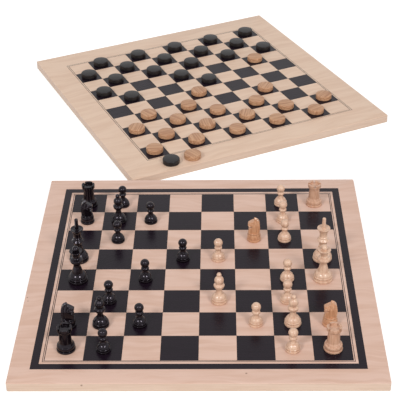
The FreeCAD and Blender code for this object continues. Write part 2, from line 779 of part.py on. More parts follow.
def square_place(square, count, column, row, shares=(0, 0)):
    """A square's middle, or a place some shares of the square off it, as expressions from the field's."""
    across = round(column + 0.5 - count / 2 + shares[0], SHARE_DIGITS)
    away = round(count / 2 - row - 0.5 + shares[1], SHARE_DIGITS)
    return f"{square} * {across}", f"{square} * {away}"


def squares_with(layout, mark):
    """Columns and rows of a layout's squares that hold a mark, row by row."""
    squares = [(column, row) for row, line in enumerate(layout) for column in range(len(line))]
    return [(column, row) for column, row in squares if layout[row][column] == mark]


def chessmen():
    """All the chessmen of both sides, numbered within their kind from the far side."""
    for colour in KNIGHT_TURNS:
        for letter, kind in CHESSMAN_KINDS.items():
            places = squares_with(CHESS_LAYOUT, letter.upper() if colour == "white" else letter)
            for order, (column, row) in enumerate(places, start=1):
                label = f"{colour}_{kind}" if len(places) == 1 else f"{colour}_{kind}_{order}"
                x, y = square_place("Sizes.chess_square", CHESS_COUNT, column, row, STANDING_SHARES[label])
                body = turned_body(f"{label}_base" if kind == "knight" else label, kind)
                stand(body, x, y, PLAY_LEVEL, turn=ROOK_TURNS.get(label))
                if kind == "rook":
                    saw_crown(body)
                if kind == "knight":
                    bore_knight_base(body)
                    head = knight_head(f"{label}_head")
                    level = f"{PLAY_LEVEL} + Sizes.knight_foot_height"
                    stand(head, x, y, level, turn=KNIGHT_TURNS[colour])


def draughts_body(label, places):
    """Group of draughts at given middles, each a disc with rounded rims."""
    body = new_body(label)
    drawing = Drawing(body, "XY_Plane")
    for x, y in places:
        drawing.circle(x, y, "Sizes.draught_diameter")
    discs = pad(body, drawing, "Sizes.draught_thickness")
    doc.recompute()
    rims = body.newObject("PartDesign::Fillet", f"{body.Name}Rims")
    flats = [
        f"Face{index}"
        for index, face in enumerate(discs.Shape.Faces, start=1)
        if isinstance(face.Surface, Part.Plane)
    ]
    rims.Base = (discs, flats)
    bind(rims, Radius="Sizes.draught_edge_radius")
    stand_on_draughts_board(body, PLAY_LEVEL)


def draughts_groups(colour):
    """Squares of one side's draughts: its home rows from its own edge, and those moved forward."""
    rows = range(DRAUGHTS_COUNT) if colour == "black" else range(DRAUGHTS_COUNT - 1, -1, -1)
    homes = {row: f"row_{order}" for order, row in enumerate(rows[:DRAUGHTS_HOME_ROWS_COUNT], start=1)}
    groups = {label: [] for label in [*homes.values(), "forward"]}
    for column, row in squares_with(DRAUGHTS_LAYOUT, colour[0]):
        groups[homes.get(row, "forward")].append((column, row))
    return groups


def draughts():
    """All the draughts of both sides, with the captured ones on the margin."""
    for colour in ("black", "white"):
        for label, squares in draughts_groups(colour).items():
            places = [square_place("Sizes.draughts_square", DRAUGHTS_COUNT, *square) for square in squares]
            draughts_body(f"{colour}_draughts_{label}", places)
    for label, shares in CAPTURED_DRAUGHTS_SHARES.items():
        draughts_body(label, [tuple(f"{BOARD_HALF} * {share}" for share in shares)])


chess_board()
draughts_board()
chessmen()
draughts()
doc.recompute()

for item in doc.Objects:
    if "Invalid" in item.State or "Error" in item.State:
        raise RuntimeError(f"{item.Label} failed: {item.State}")
for body in sub_parts:
    if body.Shape.isNull() or not body.Shape.isValid():
        raise RuntimeError(f"{body.Label} has no valid shape")
for whole, cut in cuts:
    if cut.Shape.Volume >= whole.Shape.Volume:
        raise RuntimeError(f"{cut.Label} missed the solid")

os.makedirs("parts", exist_ok=True)
for body in sub_parts:
    body.Shape.exportStep(f"parts/{body.Label}.step")
    print(f"{body.Label}: {len(body.Shape.Solids)} solids, {body.Shape.Volume:.1f} cubic millimetres")
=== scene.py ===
"""Looks of a chess and draughts set: two inlaid boards, turned chessmen and flat draughts."""

import json
import logging
import math
from collections.abc import Mapping, Sequence
from dataclasses import dataclass, replace
from enum import Enum

import bmesh
import bpy
import numpy as np
from bpy.types import Material, Mesh, Node, NodeSocket, NodeTree, Object
from mathutils import Matrix, Vector


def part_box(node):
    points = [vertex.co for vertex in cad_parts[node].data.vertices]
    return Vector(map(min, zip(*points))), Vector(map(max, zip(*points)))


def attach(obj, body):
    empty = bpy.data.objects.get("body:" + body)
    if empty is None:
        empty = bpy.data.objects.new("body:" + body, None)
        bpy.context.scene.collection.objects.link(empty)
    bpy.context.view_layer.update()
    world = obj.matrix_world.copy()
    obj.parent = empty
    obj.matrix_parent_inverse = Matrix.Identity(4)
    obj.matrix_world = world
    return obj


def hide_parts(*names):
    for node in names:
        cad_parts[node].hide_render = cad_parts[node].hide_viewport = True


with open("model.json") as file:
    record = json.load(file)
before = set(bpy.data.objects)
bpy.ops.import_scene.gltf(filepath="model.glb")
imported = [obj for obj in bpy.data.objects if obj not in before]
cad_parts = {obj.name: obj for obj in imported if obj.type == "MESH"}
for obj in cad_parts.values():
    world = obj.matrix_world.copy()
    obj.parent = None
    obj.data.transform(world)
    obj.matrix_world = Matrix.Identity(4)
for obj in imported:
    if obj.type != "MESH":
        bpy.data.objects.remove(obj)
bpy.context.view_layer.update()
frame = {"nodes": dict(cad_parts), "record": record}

log = logging.getLogger("chess_and_draughts_set")

MM = 0.001
SHARP_ANGLE = math.radians(38)
WHITE = (1.0, 1.0, 1.0, 1.0)

# A corner flatter than this stays as it is, and sanding takes at most this share of a side
FLAT_ANGLE = math.radians(172)
SANDED_SHARE = 0.45
# Fewest steps along an arc
ARC_STEPS = 4
# How near two lengths count as the same, and how near points on a turning are joined, in mm
HAIR = 0.001
SEAM = 0.002
# Points up the side of a draught
DISC_STATIONS = 49
# A face is a wall where its normal rises less than this
WALL_RISE = 0.5

# Attributes that the pieces carry for their finishes
TILE_TONE = "tile_tone"
GRAIN_TURN = "grain_turn"

# Scale at which a wave texture draws one band to a unit
ONE_BAND = math.pi / 10
# Refraction of lacquer, varnish and wax
FILM_INDEX = 1.48
# Bends of the broad streaks: width and length as shares of a streak's
BEND_WIDTH, BEND_LENGTH = 5.0, 0.7
# Values of the streaks between which late wood comes in, pores come in and the roughness changes
LATE_RANGE = (0.36, 0.68)
PORE_RANGE = (0.48, 0.74)
SHINE_RANGE = (0.3, 0.7)
# Loss and gain of roughness at the ends of that range
SHINIER, DULLER = 0.04, 0.05
# Wobble of the turning marks, in mm, and their height beside the streaks'
MARK_WOBBLE = 40.0
MARK_SHARE = 0.35
# Colour of a knot, and how far it covers the wood in the knot's middle
KNOT_BROWN = "#6B4632"
KNOT_SHARE = 0.85
# How far the lightest and the darkest square are from the middle tone
TONE_SPREAD = 0.03
# Turn of the draughts board, in degrees
BOARD_TURN = 26.0


class Side(Enum):
    """The two sides of a game."""

    BLACK = "black"
    WHITE = "white"


class Grain(Enum):
    """How the grain lies in a piece."""

    LEVEL = "level"
    UPRIGHT = "upright"
    EACH_DISC = "each_disc"


class Station(Enum):
    """What an outline does at a station."""

    CORNER = "corner"
    THROUGH = "through"


C = Station.CORNER
T = Station.THROUGH
Outline = Sequence[tuple[float, float, Station]]


def linear(code: str) -> tuple[float, float, float, float]:
    """Turn an sRGB hex colour into linear light.

    Args:
        code: Six hex digits after a hash.

    Returns:
        Red, green, blue and a full alpha.
    """
    parts = [int(code[place:place + 2], 16) / 255 for place in (1, 3, 5)]
    red, green, blue = (p / 12.92 if p <= 0.04045 else ((p + 0.055) / 1.055) ** 2.4 for p in parts)
    return red, green, blue, 1.0


@dataclass(frozen=True)
class Nodes:
    """A shader or geometry tree, with short ways to add to it."""

    tree: NodeTree

    def fill(self, node: Node, inputs: Mapping) -> Node:
        """Set a node's inputs.

        Args:
            node: The node.
            inputs: Value or source socket for each input, by name or place.

        Returns:
            The node.
        """
        for key, value in inputs.items():
            if isinstance(value, NodeSocket):
                self.tree.links.new(value, node.inputs[key])
            else:
                node.inputs[key].default_value = value
        return node

    def add(self, kind: str, inputs: Mapping | None = None, **settings: object) -> Node:
        """Add a node.

        Args:
            kind: Blender's name for the kind of node.
            inputs: Value or source socket for each input, by name or place.
            settings: Properties of the node.

        Returns:
            The new node.
        """
        node = self.tree.nodes.new(kind)
        for name, value in settings.items():
            setattr(node, name, value)
        return self.fill(node, inputs or {})

    def out(
        self, kind: str, inputs: Mapping | None = None, output: int | str = 0, **settings: object
    ) -> NodeSocket:
        """Add a node and give back one of its outputs."""
        return self.add(kind, inputs, **settings).outputs[output]

    def reckon(self, operation: str, *values: NodeSocket | float) -> NodeSocket:
        """Reckon with numbers and sockets."""
        return self.out("ShaderNodeMath", dict(enumerate(values)), operation=operation)

    def ramp(self, value: NodeSocket, *ends: float, kind: str = "SMOOTHSTEP") -> NodeSocket:
        """Bring one range of values to another.

        Args:
            value: The value.
            ends: Ends of the first range and of the second.
            kind: How values run between the ends.

        Returns:
            The value in the second range.
        """
        names = ("From Min", "From Max", "To Min", "To Max")
        inputs = {"Value": value, **dict(zip(names, ends))}
        return self.out("ShaderNodeMapRange", inputs, interpolation_type=kind)

    def attribute(self, name: str) -> NodeSocket:
        """Read a value that the mesh carries."""
        return self.out("ShaderNodeAttribute", None, "Fac", attribute_name=name)

    def mix(self, share: NodeSocket, first: object, second: object) -> NodeSocket:
        """Mix a share of a second colour into a first."""
        return self.out("ShaderNodeMix", {0: share, 6: first, 7: second}, 2, data_type="RGBA")

    def stretch(self, along: NodeSocket, width: float, length: float) -> NodeSocket:
        """Coordinates in which a width across the grain and a length along it, in mm, are one unit each."""
        scale = (1 / (length * MM), 1 / (width * MM), 1 / (width * MM))
        return self.out("ShaderNodeMapping", {"Vector": along, "Scale": scale}, "Vector")

    def noise(
        self, along: NodeSocket, width: float, length: float, detail: float, roughness: float = 0.5
    ) -> NodeSocket:
        """Noise drawn out along the grain.

        Args:
            along: Coordinates with the grain along X.
            width: Width of a streak, in mm.
            length: Length of a streak, in mm.
            detail: Number of finer layers.
            roughness: Strength of the finer layers.

        Returns:
            The noise, from 0 to 1.
        """
        layers = {"Scale": 1.0, "Detail": detail, "Roughness": roughness}
        where = self.stretch(along, width, length)
        return self.out("ShaderNodeTexNoise", {"Vector": where, **layers}, "Fac")


@dataclass(frozen=True)
class Knot:
    """A pin knot in a veneer.

    Attributes:
        place: Middle of the knot, in mm in the part's frame.
        radius: Reach of the dark spot, in mm.
    """

    place: tuple[float, float, float]
    radius: float


@dataclass(frozen=True)
class Wood:
    """A wood, and how its surface was made.

    Attributes:
        name: Name of the material.
        pale: Colour of the early wood.
        dark: Colour of the late wood.
        pore: Colour of pores and flecks.
        grain: How the grain lies in the piece.
        turn: Turn of level grain from +X, in degrees.
        figure: Width and length of the broad streaks of late wood, in mm.
        figure_share: How far the late wood's colour shows.
        wander: How far the streaks stray from the straight, in mm.
        streak: Width and length of the fine streaks, in mm.
        streak_share: How far the pore colour shows.
        relief: Depth of the grain under the finish, in mm.
        tool_marks: Spacing of the turning marks, in mm, or 0 where there are none.
        roughness: Roughness of the finish.
        mirror: Strength of its mirror light, 0.5 for a full clear film.
        film: Tint of its mirror light.
        coat: Weight of a clear coat.
        coat_roughness: Roughness of the clear coat.
        knots: Pin knots.
    """

    name: str
    pale: str
    dark: str
    pore: str
    grain: Grain = Grain.LEVEL
    turn: float = 0.0
    figure: tuple[float, float] = (7.0, 95.0)
    figure_share: float = 0.6
    wander: float = 9.0
    streak: tuple[float, float] = (1.6, 55.0)
    streak_share: float = 0.3
    relief: float = 0.02
    tool_marks: float = 0.0
    roughness: float = 0.42
    mirror: float = 0.5
    film: str = "#FFFFFF"
    coat: float = 0.0
    coat_roughness: float = 0.1
    knots: tuple[Knot, ...] = ()

    def make(self) -> Material:
        """Build the material once and give it back after that.

        Returns:
            The material.
        """
        if self.name in bpy.data.materials:
            return bpy.data.materials[self.name]
        material = bpy.data.materials.new(self.name)
        material.use_nodes = True
        nodes = Nodes(material.node_tree)
        plain, along = self.lay(nodes)
        figure, streaks = self.draw_grain(nodes, along)
        height = streaks
        if self.tool_marks:
            rings = nodes.stretch(along, MARK_WOBBLE, self.tool_marks)
            waves = {"Vector": rings, "Scale": ONE_BAND, "Distortion": 0.8, "Detail": 1.0}
            marks = nodes.out("ShaderNodeTexWave", waves, "Fac", bands_direction="X")
            height = nodes.reckon("MULTIPLY_ADD", marks, MARK_SHARE, streaks)
        relief = {"Strength": 0.6, "Distance": self.relief * MM, "Height": height}
        shine = (*SHINE_RANGE, self.roughness - SHINIER, self.roughness + DULLER)
        shader = {
            "Base Color": self.colour_grain(nodes, plain, figure, streaks),
            "Roughness": nodes.ramp(streaks, *shine, kind="LINEAR"),
            "Normal": nodes.out("ShaderNodeBump", relief, "Normal"),
            "IOR": FILM_INDEX,
            "Specular IOR Level": self.mirror,
            "Specular Tint": linear(self.film),
            "Coat Weight": self.coat,
            "Coat Roughness": self.coat_roughness,
        }
        nodes.fill(nodes.tree.nodes["Principled BSDF"], shader)
        return material

    def lay(self, nodes: Nodes) -> tuple[NodeSocket, NodeSocket]:
        """Coordinates of the piece, plain and turned so that the grain runs along X.

        Each inlaid square reads its own part of the wood, so that the figure breaks at the joints.

        Args:
            nodes: The material's tree.

        Returns:
            The plain and the turned coordinates.
        """
        plain = nodes.out("ShaderNodeTexCoord", None, "Object")
        if self.grain is Grain.EACH_DISC:
            spin = {"Vector": plain, "Angle": nodes.attribute(GRAIN_TURN)}
            return plain, nodes.out("ShaderNodeVectorRotate", spin, rotation_type="Z_AXIS")
        upright = self.grain is Grain.UPRIGHT
        turn = (0.0, math.pi / 2, 0.0) if upright else (0.0, 0.0, -math.radians(self.turn))
        turned = nodes.out("ShaderNodeMapping", {"Vector": plain, "Rotation": turn}, "Vector")
        tone = nodes.attribute(TILE_TONE)
        shift = nodes.out("ShaderNodeCombineXYZ", {"X": tone, "Y": tone, "Z": tone})
        return plain, nodes.out("ShaderNodeVectorMath", {0: turned, 1: shift}, operation="ADD")

    def draw_grain(self, nodes: Nodes, along: NodeSocket) -> tuple[NodeSocket, NodeSocket]:
        """Draw the broad streaks, which wander, and the fine ones.

        Args:
            nodes: The material's tree.
            along: Coordinates with the grain along X.

        Returns:
            The broad and the fine streaks, from 0 to 1.
        """
        width, length = self.figure
        bends = nodes.noise(along, width * BEND_WIDTH, length * BEND_LENGTH, detail=1.0)
        stray = nodes.reckon("MULTIPLY", bends, self.wander * MM)
        sideways = nodes.out("ShaderNodeCombineXYZ", {"Y": stray})
        bent = nodes.out("ShaderNodeVectorMath", {0: along, 1: sideways}, operation="ADD")
        broad = nodes.noise(bent, width, length, detail=2.0, roughness=0.55)
        return broad, nodes.noise(bent, *self.streak, detail=3.0, roughness=0.6)

    def colour_grain(
        self, nodes: Nodes, plain: NodeSocket, figure: NodeSocket, streaks: NodeSocket
    ) -> NodeSocket:
        """Colour the grain and the knots.

        Args:
            nodes: The material's tree.
            plain: Coordinates of the piece.
            figure: Broad streaks.
            streaks: Fine streaks.

        Returns:
            The colour.
        """
        late = nodes.ramp(figure, *LATE_RANGE, 0.0, self.figure_share)
        colour = nodes.mix(late, linear(self.pale), linear(self.dark))
        fleck = nodes.ramp(streaks, *PORE_RANGE, 0.0, self.streak_share)
        colour = nodes.mix(fleck, colour, linear(self.pore))
        for knot in self.knots:
            ends = {0: plain, 1: [value * MM for value in knot.place]}
            away = nodes.out("ShaderNodeVectorMath", ends, "Value", operation="DISTANCE")
            spot = nodes.ramp(away, 0.0, knot.radius * MM, KNOT_SHARE, 0.0)
            colour = nodes.mix(spot, colour, linear(KNOT_BROWN))
        level = nodes.reckon("MULTIPLY_ADD", nodes.attribute(TILE_TONE), TONE_SPREAD, 1.0)
        return nodes.out("ShaderNodeVectorMath", {0: colour, "Scale": level}, operation="SCALE")


# Sliced maple veneer under a satin lacquer: pinkish beige with faint, wandering streaks. The pores are 0.1 mm
# wide on the real face and are drawn 2.2 mm wide, because finer ones don't show.
CHESS_MAPLE = Wood(
    "maple_veneer_sliced_satin_lacquer", "#DAB8A7", "#C79F88", "#BB907A", figure=(10.0, 90.0),
    figure_share=0.5, wander=30.0, streak=(2.2, 70.0), streak_share=0.14,
    knots=(
        Knot((61.4, -225.2, 13.6), 2.2),
        Knot((-240.6, -66.0, 13.6), 1.6),
        Knot((-238.6, -74.0, 13.6), 1.5),
        Knot((-147.6, -244.0, 10.2), 2.2),
    ),
)
DRAUGHTS_MAPLE = replace(
    CHESS_MAPLE, name="maple_veneer_sliced_turned_satin_lacquer", pale="#DFC2AB", dark="#D0AD94",
    pore="#C59F87", turn=BOARD_TURN, knots=(),
)

# The same veneer dyed through and lacquered: nearly black, with only a shadow of the grain, and a satin face
# that mirrors the men softly.
CHESS_STAIN = Wood(
    "maple_veneer_stained_black", "#190F19", "#150C15", "#1E141D", streak_share=0.3, relief=0.003,
    roughness=0.26, mirror=0.19,
)
DRAUGHTS_STAIN = replace(
    CHESS_STAIN, name="maple_veneer_stained_black_turned", pale="#1C121B", dark="#180F17", pore="#21171F",
    turn=BOARD_TURN, roughness=0.3,
)


def lipping_maple(turn: float) -> Wood:
    """Solid maple strip, sawn and sanded, with grain along the strip; its colour is paler than the face
    partly as painted light, standing in for the extra light that falls on the board's edges.

    Args:
        turn: Direction of the strip from +X, in degrees.

    Returns:
        The finish.
    """
    # The pale colours below are partly painted light: they brighten the board's edges as the light from the
    # front does.
    return Wood(
        f"maple_lipping_sanded_painted_light_{round(turn)}", "#DBC0AC", "#CFB09A", "#C19E89", turn=turn, figure=(4.0, 80.0),
        wander=4.0, streak_share=0.25, roughness=0.5, knots=CHESS_MAPLE.knots,
    )


# Rotary-cut poplar backing, rubbed with thin lacquer: dull, pale and wildly figured.
BACKING = Wood(
    "poplar_backing_veneer_rotary_cut", "#D8C0A0", "#C4A683", "#AF9070", figure=(16.0, 120.0),
    figure_share=0.8, wander=40.0, relief=0.03, roughness=0.6,
)
# Poplar plywood core, sawn: plain and matt. It is closed in on all sides.
CORE = Wood("poplar_plywood_core_sawn", "#C9AA84", "#B39068", "#9C7B57", relief=0.05, roughness=0.75)

# Hornbeam, turned and varnished: pinkish cream with upright streaks and a soft shine over faint tool marks.
HORNBEAM = Wood(
    "hornbeam_turned_varnished", "#DAB79D", "#BA8C73", "#A5765B", grain=Grain.UPRIGHT, figure=(3.4, 34.0),
    figure_share=0.55, wander=3.0, streak=(0.9, 16.0), streak_share=0.35, tool_marks=0.9, roughness=0.34,
    coat=0.35, coat_roughness=0.13,
)
# Steamed beech, turned and varnished: tan with darker flecks.
BEECH = Wood(
    "beech_steamed_turned_varnished", "#CFA58A", "#AE7B5D", "#945F43", grain=Grain.UPRIGHT,
    figure=(2.4, 28.0), figure_share=0.55, wander=3.0, streak=(1.1, 11.0), streak_share=0.45, tool_marks=0.9,
    roughness=0.36, coat=0.5, coat_roughness=0.09,
)
# Steamed beech, carved and varnished: its cut ends drink more varnish, and so it is more orange.
ORANGE_BEECH = Wood(
    "beech_steamed_carved_varnished", "#CB9874", "#AC744F", "#925A39", grain=Grain.UPRIGHT,
    figure=(2.6, 28.0), figure_share=0.6, wander=3.0, streak=(1.1, 11.0), streak_share=0.5, relief=0.03,
    roughness=0.38, coat=0.5, coat_roughness=0.1,
)
# Hornbeam under black gloss lacquer: the film levels the grain and mirrors the lamps as small lights with a
# breath of violet from its dye.
BLACK_LACQUER = Wood(
    "hornbeam_turned_black_lacquer", "#0D070B", "#0A0608", "#130C10", grain=Grain.UPRIGHT, figure=(2.6, 26.0),
    streak=(1.0, 14.0), relief=0.004, tool_marks=0.9, roughness=0.14, mirror=0.34, film="#FAEFFF",
)
# Beech carved by hand under the same lacquer, brushed on thicker: broader, softer lights on the cut faces.
CARVED_LACQUER = replace(
    BLACK_LACQUER, name="beech_carved_black_lacquer", tool_marks=0.0, roughness=0.2, mirror=0.44
)
# Beech discs sliced along the grain and waxed: dull tan with straight dark lines, turned its own way on each.
DRAUGHT_BEECH = Wood(
    "beech_disc_waxed", "#C89C79", "#9E6B4B", "#84563A", grain=Grain.EACH_DISC, figure=(2.4, 60.0),
    figure_share=0.8, wander=2.0, streak=(1.1, 40.0), streak_share=0.6, relief=0.03, roughness=0.46,
)
# The same discs dipped in black stain and waxed: charcoal with a dull sheen.
DRAUGHT_STAIN = Wood(
    "beech_disc_stained_black", "#1E1A1B", "#171415", "#2B2627", grain=Grain.EACH_DISC, figure=(2.4, 60.0),
    streak=(1.1, 40.0), relief=0.03, roughness=0.36, mirror=0.3,
)

# White men that aren't of hornbeam
WHITE_WOODS = {"rook": BEECH, "knight": ORANGE_BEECH}


def vertices_of(mesh: Mesh) -> np.ndarray:
    """Coordinates of a mesh's vertices.

    Args:
        mesh: The mesh.

    Returns:
        One row for each vertex.
    """
    flat = np.empty(len(mesh.vertices) * 3, np.float32)
    mesh.vertices.foreach_get("co", flat)
    return flat.reshape(-1, 3)


def pour(bm: bmesh.types.BMesh, mesh: Mesh) -> Mesh:
    """Fill a mesh from a bmesh, with outward faces, and free the bmesh.

    Args:
        bm: The bmesh.
        mesh: The mesh.

    Returns:
        The mesh.
    """
    bmesh.ops.recalc_face_normals(bm, faces=bm.faces)
    bm.to_mesh(mesh)
    bm.free()
    return mesh


def mesh_from(bm: bmesh.types.BMesh, name: str) -> Mesh:
    """Turn a bmesh into a new mesh with outward faces."""
    return pour(bm, bpy.data.meshes.new(name))


def outward(mesh: Mesh) -> Mesh:
    """Point a closed mesh's faces outwards.

    Args:
        mesh: The mesh.

    Returns:
        The same mesh.
    """
    bm = bmesh.new()
    bm.from_mesh(mesh)
    return pour(bm, mesh)


def put(name: str, data: bpy.types.ID) -> Object:
    """Put a mesh, lamp or camera in the scene.

    Args:
        name: Name of the object.
        data: What it holds.

    Returns:
        The object.
    """
    item = bpy.data.objects.new(name, data)
    bpy.context.scene.collection.objects.link(item)
    return item


def plain_mesh(holder: Object) -> Mesh:
    """Work an object's modifiers into a plain mesh, and take the object away.

    Args:
        holder: The object.

    Returns:
        The plain mesh.
    """
    depsgraph = bpy.context.evaluated_depsgraph_get()
    mesh = bpy.data.meshes.new_from_object(
        holder.evaluated_get(depsgraph), preserve_all_data_layers=True, depsgraph=depsgraph
    )
    holder.modifiers.clear()
    bpy.data.objects.remove(holder)
    return mesh


def add_piece(name: str, mesh: Mesh, body: str, nodes: Sequence[str]) -> None:
    """Put a finished mesh in the scene as a piece that rides on a body and stands for CAD nodes.

    Args:
        name: Name of the piece.
        mesh: Its mesh, in the part's frame, with its materials.
        body: CAD body that it rides on.
        nodes: CAD nodes that it stands for.
    """
    mesh.name = name
    mesh.shade_smooth()
    mesh.set_sharp_from_angle(angle=SHARP_ANGLE)
    piece = put(name, mesh)
    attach(piece, body)
    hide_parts(*nodes)
    log.info("%s rides on %s, %d faces", name, body, len(mesh.polygons))


def keep_node(node: str, finish: Wood) -> None:
    """Give a CAD node that keeps its shape its finish."""
    frame["nodes"][node].material_slots[0].material = finish.make()
    log.info("%s keeps its CAD shape", node)


def new_tree(name: str, inputs: Mapping[str, str]) -> tuple[Nodes, Mapping[str, NodeSocket]]:
    """Start a Geometry Nodes tree with named inputs.

    Args:
        name: Name of the tree.
        inputs: Kind of socket for each input.

    Returns:
        The tree and the sockets that it is given.
    """
    tree = bpy.data.node_groups.new(name, "GeometryNodeTree")
    tree.interface.new_socket("Geometry", in_out="OUTPUT", socket_type="NodeSocketGeometry")
    for label, kind in {"Geometry": "Geometry", **inputs, "Finish": "Material"}.items():
        tree.interface.new_socket(label, in_out="INPUT", socket_type=f"NodeSocket{kind}")
    nodes = Nodes(tree)
    return nodes, nodes.add("NodeGroupInput").outputs


def end_tree(nodes: Nodes, given: Mapping[str, NodeSocket], geometry: NodeSocket) -> NodeTree:
    """Close a tree with real geometry in its finish.

    Args:
        nodes: The tree.
        given: The sockets that it is given.
        geometry: What it has made.

    Returns:
        The finished tree.
    """
    real = nodes.out("GeometryNodeRealizeInstances", {"Geometry": geometry})
    dressed = nodes.out("GeometryNodeSetMaterial", {"Geometry": real, "Material": given["Finish"]})
    nodes.add("NodeGroupOutput", {0: dressed})
    return nodes.tree


def mark_each(
    nodes: Nodes, instances: NodeSocket, name: str, reach: tuple[float, float], seed: NodeSocket
) -> NodeSocket:
    """Give each instance a random value of its own.

    Args:
        nodes: The tree.
        instances: The instances.
        name: Name of the attribute.
        reach: Least and greatest value.
        seed: Seed for the values.

    Returns:
        The marked instances.
    """
    ends = {2: reach[0], 3: reach[1], "Seed": seed}
    value = nodes.out("FunctionNodeRandomValue", ends, 1, data_type="FLOAT")
    store = {"Geometry": instances, "Name": name, "Value": value}
    return nodes.out("GeometryNodeStoreNamedAttribute", store, data_type="FLOAT", domain="INSTANCE")


def shape_with(tree: NodeTree, start: Mesh, values: Mapping[str, object]) -> Mesh:
    """Run a Geometry Nodes tree on a mesh and keep the result as a plain mesh.

    Args:
        tree: The tree.
        start: Mesh that the tree starts from.
        values: Value for each named input.

    Returns:
        The plain mesh.
    """
    holder = put("shaping", start)
    modifier = holder.modifiers.new("shaping", "NODES")
    modifier.node_group = tree
    names = {item.name: item.identifier for item in tree.interface.items_tree if item.in_out == "INPUT"}
    for name, value in values.items():
        modifier[names[name]] = value
    return plain_mesh(holder)


def turning_tree() -> NodeTree:
    """Tree that turns an outline about the upright, as a lathe does.

    The outline comes in as a row of points, with the radius in X and the height in Z.

    Returns:
        The tree.
    """
    nodes, given = new_tree("turning", {"Segments": "Int", "Seat": "Vector"})
    outline, segments = given["Geometry"], given["Segments"]
    stations = nodes.out("GeometryNodeAttributeDomainSize", {0: outline}, "Point Count")
    ring = nodes.reckon("ADD", segments, 1.0)
    grid = nodes.out("GeometryNodeMeshGrid", {"Vertices X": stations, "Vertices Y": ring}, "Mesh")
    index = nodes.out("GeometryNodeInputIndex")
    station = nodes.reckon("FLOOR", nodes.reckon("DIVIDE", index, ring))
    share = nodes.reckon("DIVIDE", nodes.reckon("MODULO", index, ring), segments)
    angle = nodes.reckon("MULTIPLY", share, math.tau)
    sample = {"Geometry": outline, "Value": nodes.out("GeometryNodeInputPosition"), "Index": station}
    point = nodes.out("GeometryNodeSampleIndex", sample, data_type="FLOAT_VECTOR")
    swung = nodes.out("ShaderNodeVectorRotate", {"Vector": point, "Angle": angle}, rotation_type="Z_AXIS")
    place = {"Geometry": grid, "Position": swung, "Offset": given["Seat"]}
    turned = nodes.out("GeometryNodeSetPosition", place)
    closed = nodes.out("GeometryNodeMergeByDistance", {"Geometry": turned, "Distance": SEAM * MM})
    return end_tree(nodes, given, closed)


def saw_tree() -> NodeTree:
    """Tree that saws notches right across the top of a turned piece.

    Returns:
        The tree.
    """
    nodes, given = new_tree(
        "sawn_crown", {"Cuts": "Int", "Blade": "Vector", "Top": "Vector", "First Turn": "Float"}
    )
    cuts = given["Cuts"]
    stack = {"Count": cuts, "Start Location": given["Top"], "Offset": (0.0, 0.0, 0.0)}
    points = nodes.out("GeometryNodeMeshLine", stack)
    share = nodes.reckon("DIVIDE", nodes.out("GeometryNodeInputIndex"), cuts)
    angle = nodes.reckon("MULTIPLY_ADD", share, math.pi, given["First Turn"])
    turn = nodes.out("ShaderNodeCombineXYZ", {"Z": angle})
    blade = nodes.out("GeometryNodeMeshCube", {"Size": given["Blade"]}, "Mesh")
    fan = {"Points": points, "Instance": blade, "Rotation": turn}
    blades = nodes.out("GeometryNodeInstanceOnPoints", fan)
    solid = nodes.out("GeometryNodeRealizeInstances", {"Geometry": blades})
    cut = {"Mesh 1": given["Geometry"], "Mesh 2": solid, "Self Intersection": True}
    sawn = nodes.out("GeometryNodeMeshBoolean", cut, "Mesh", operation="DIFFERENCE", solver="EXACT")
    return end_tree(nodes, given, sawn)


def tiles_tree() -> NodeTree:
    """Tree that lays every second square of a field as a tile with eased edges and a tone of its own.

    Returns:
        The tree.
    """
    lengths = dict.fromkeys(("Square", "Joint", "Thickness", "Ease"), "Float")
    nodes, given = new_tree("inlaid_squares", {"Count": "Int", "First": "Int", **lengths, "Seed": "Int"})
    count, square, ease = given["Count"], given["Square"], given["Ease"]
    side = nodes.reckon("SUBTRACT", square, given["Joint"])
    sheet = {"Size X": side, "Size Y": side, "Vertices X": 2, "Vertices Y": 2}
    sole = nodes.out("GeometryNodeMeshGrid", sheet, "Mesh")
    wall = nodes.reckon("SUBTRACT", given["Thickness"], ease)
    rise = {"Mesh": sole, "Offset Scale": wall, "Individual": False}
    raised = nodes.add("GeometryNodeExtrudeMesh", rise).outputs
    rise = {"Mesh": raised["Mesh"], "Selection": raised["Top"], "Offset Scale": ease, "Individual": False}
    eased = nodes.add("GeometryNodeExtrudeMesh", rise).outputs
    shrink = nodes.reckon("MULTIPLY_ADD", nodes.reckon("DIVIDE", ease, side), -2.0, 1.0)
    bevel = {"Geometry": eased["Mesh"], "Selection": eased["Top"], "Scale": shrink}
    topped = nodes.out("GeometryNodeScaleElements", bevel)
    under = nodes.out("GeometryNodeFlipFaces", {"Mesh": sole})
    join = nodes.add("GeometryNodeJoinGeometry", {0: topped})
    nodes.fill(join, {0: under})
    weld = {"Geometry": join.outputs[0], "Distance": HAIR * MM}
    tile = nodes.out("GeometryNodeMergeByDistance", weld)

    reach = nodes.reckon("MULTIPLY", nodes.reckon("SUBTRACT", count, 1.0), square)
    field = {"Size X": reach, "Size Y": reach, "Vertices X": count, "Vertices Y": count}
    spots = nodes.out("GeometryNodeMeshGrid", field, "Mesh")
    index = nodes.out("GeometryNodeInputIndex")
    column = nodes.reckon("FLOOR", nodes.reckon("DIVIDE", index, count))
    diagonal = nodes.reckon("ADD", column, nodes.reckon("MODULO", index, count))
    chosen = nodes.reckon("COMPARE", nodes.reckon("MODULO", diagonal, 2.0), given["First"], 0.5)
    laying = {"Points": spots, "Instance": tile, "Selection": chosen}
    laid = nodes.out("GeometryNodeInstanceOnPoints", laying)
    return end_tree(nodes, given, mark_each(nodes, laid, TILE_TONE, (-1.0, 1.0), given["Seed"]))


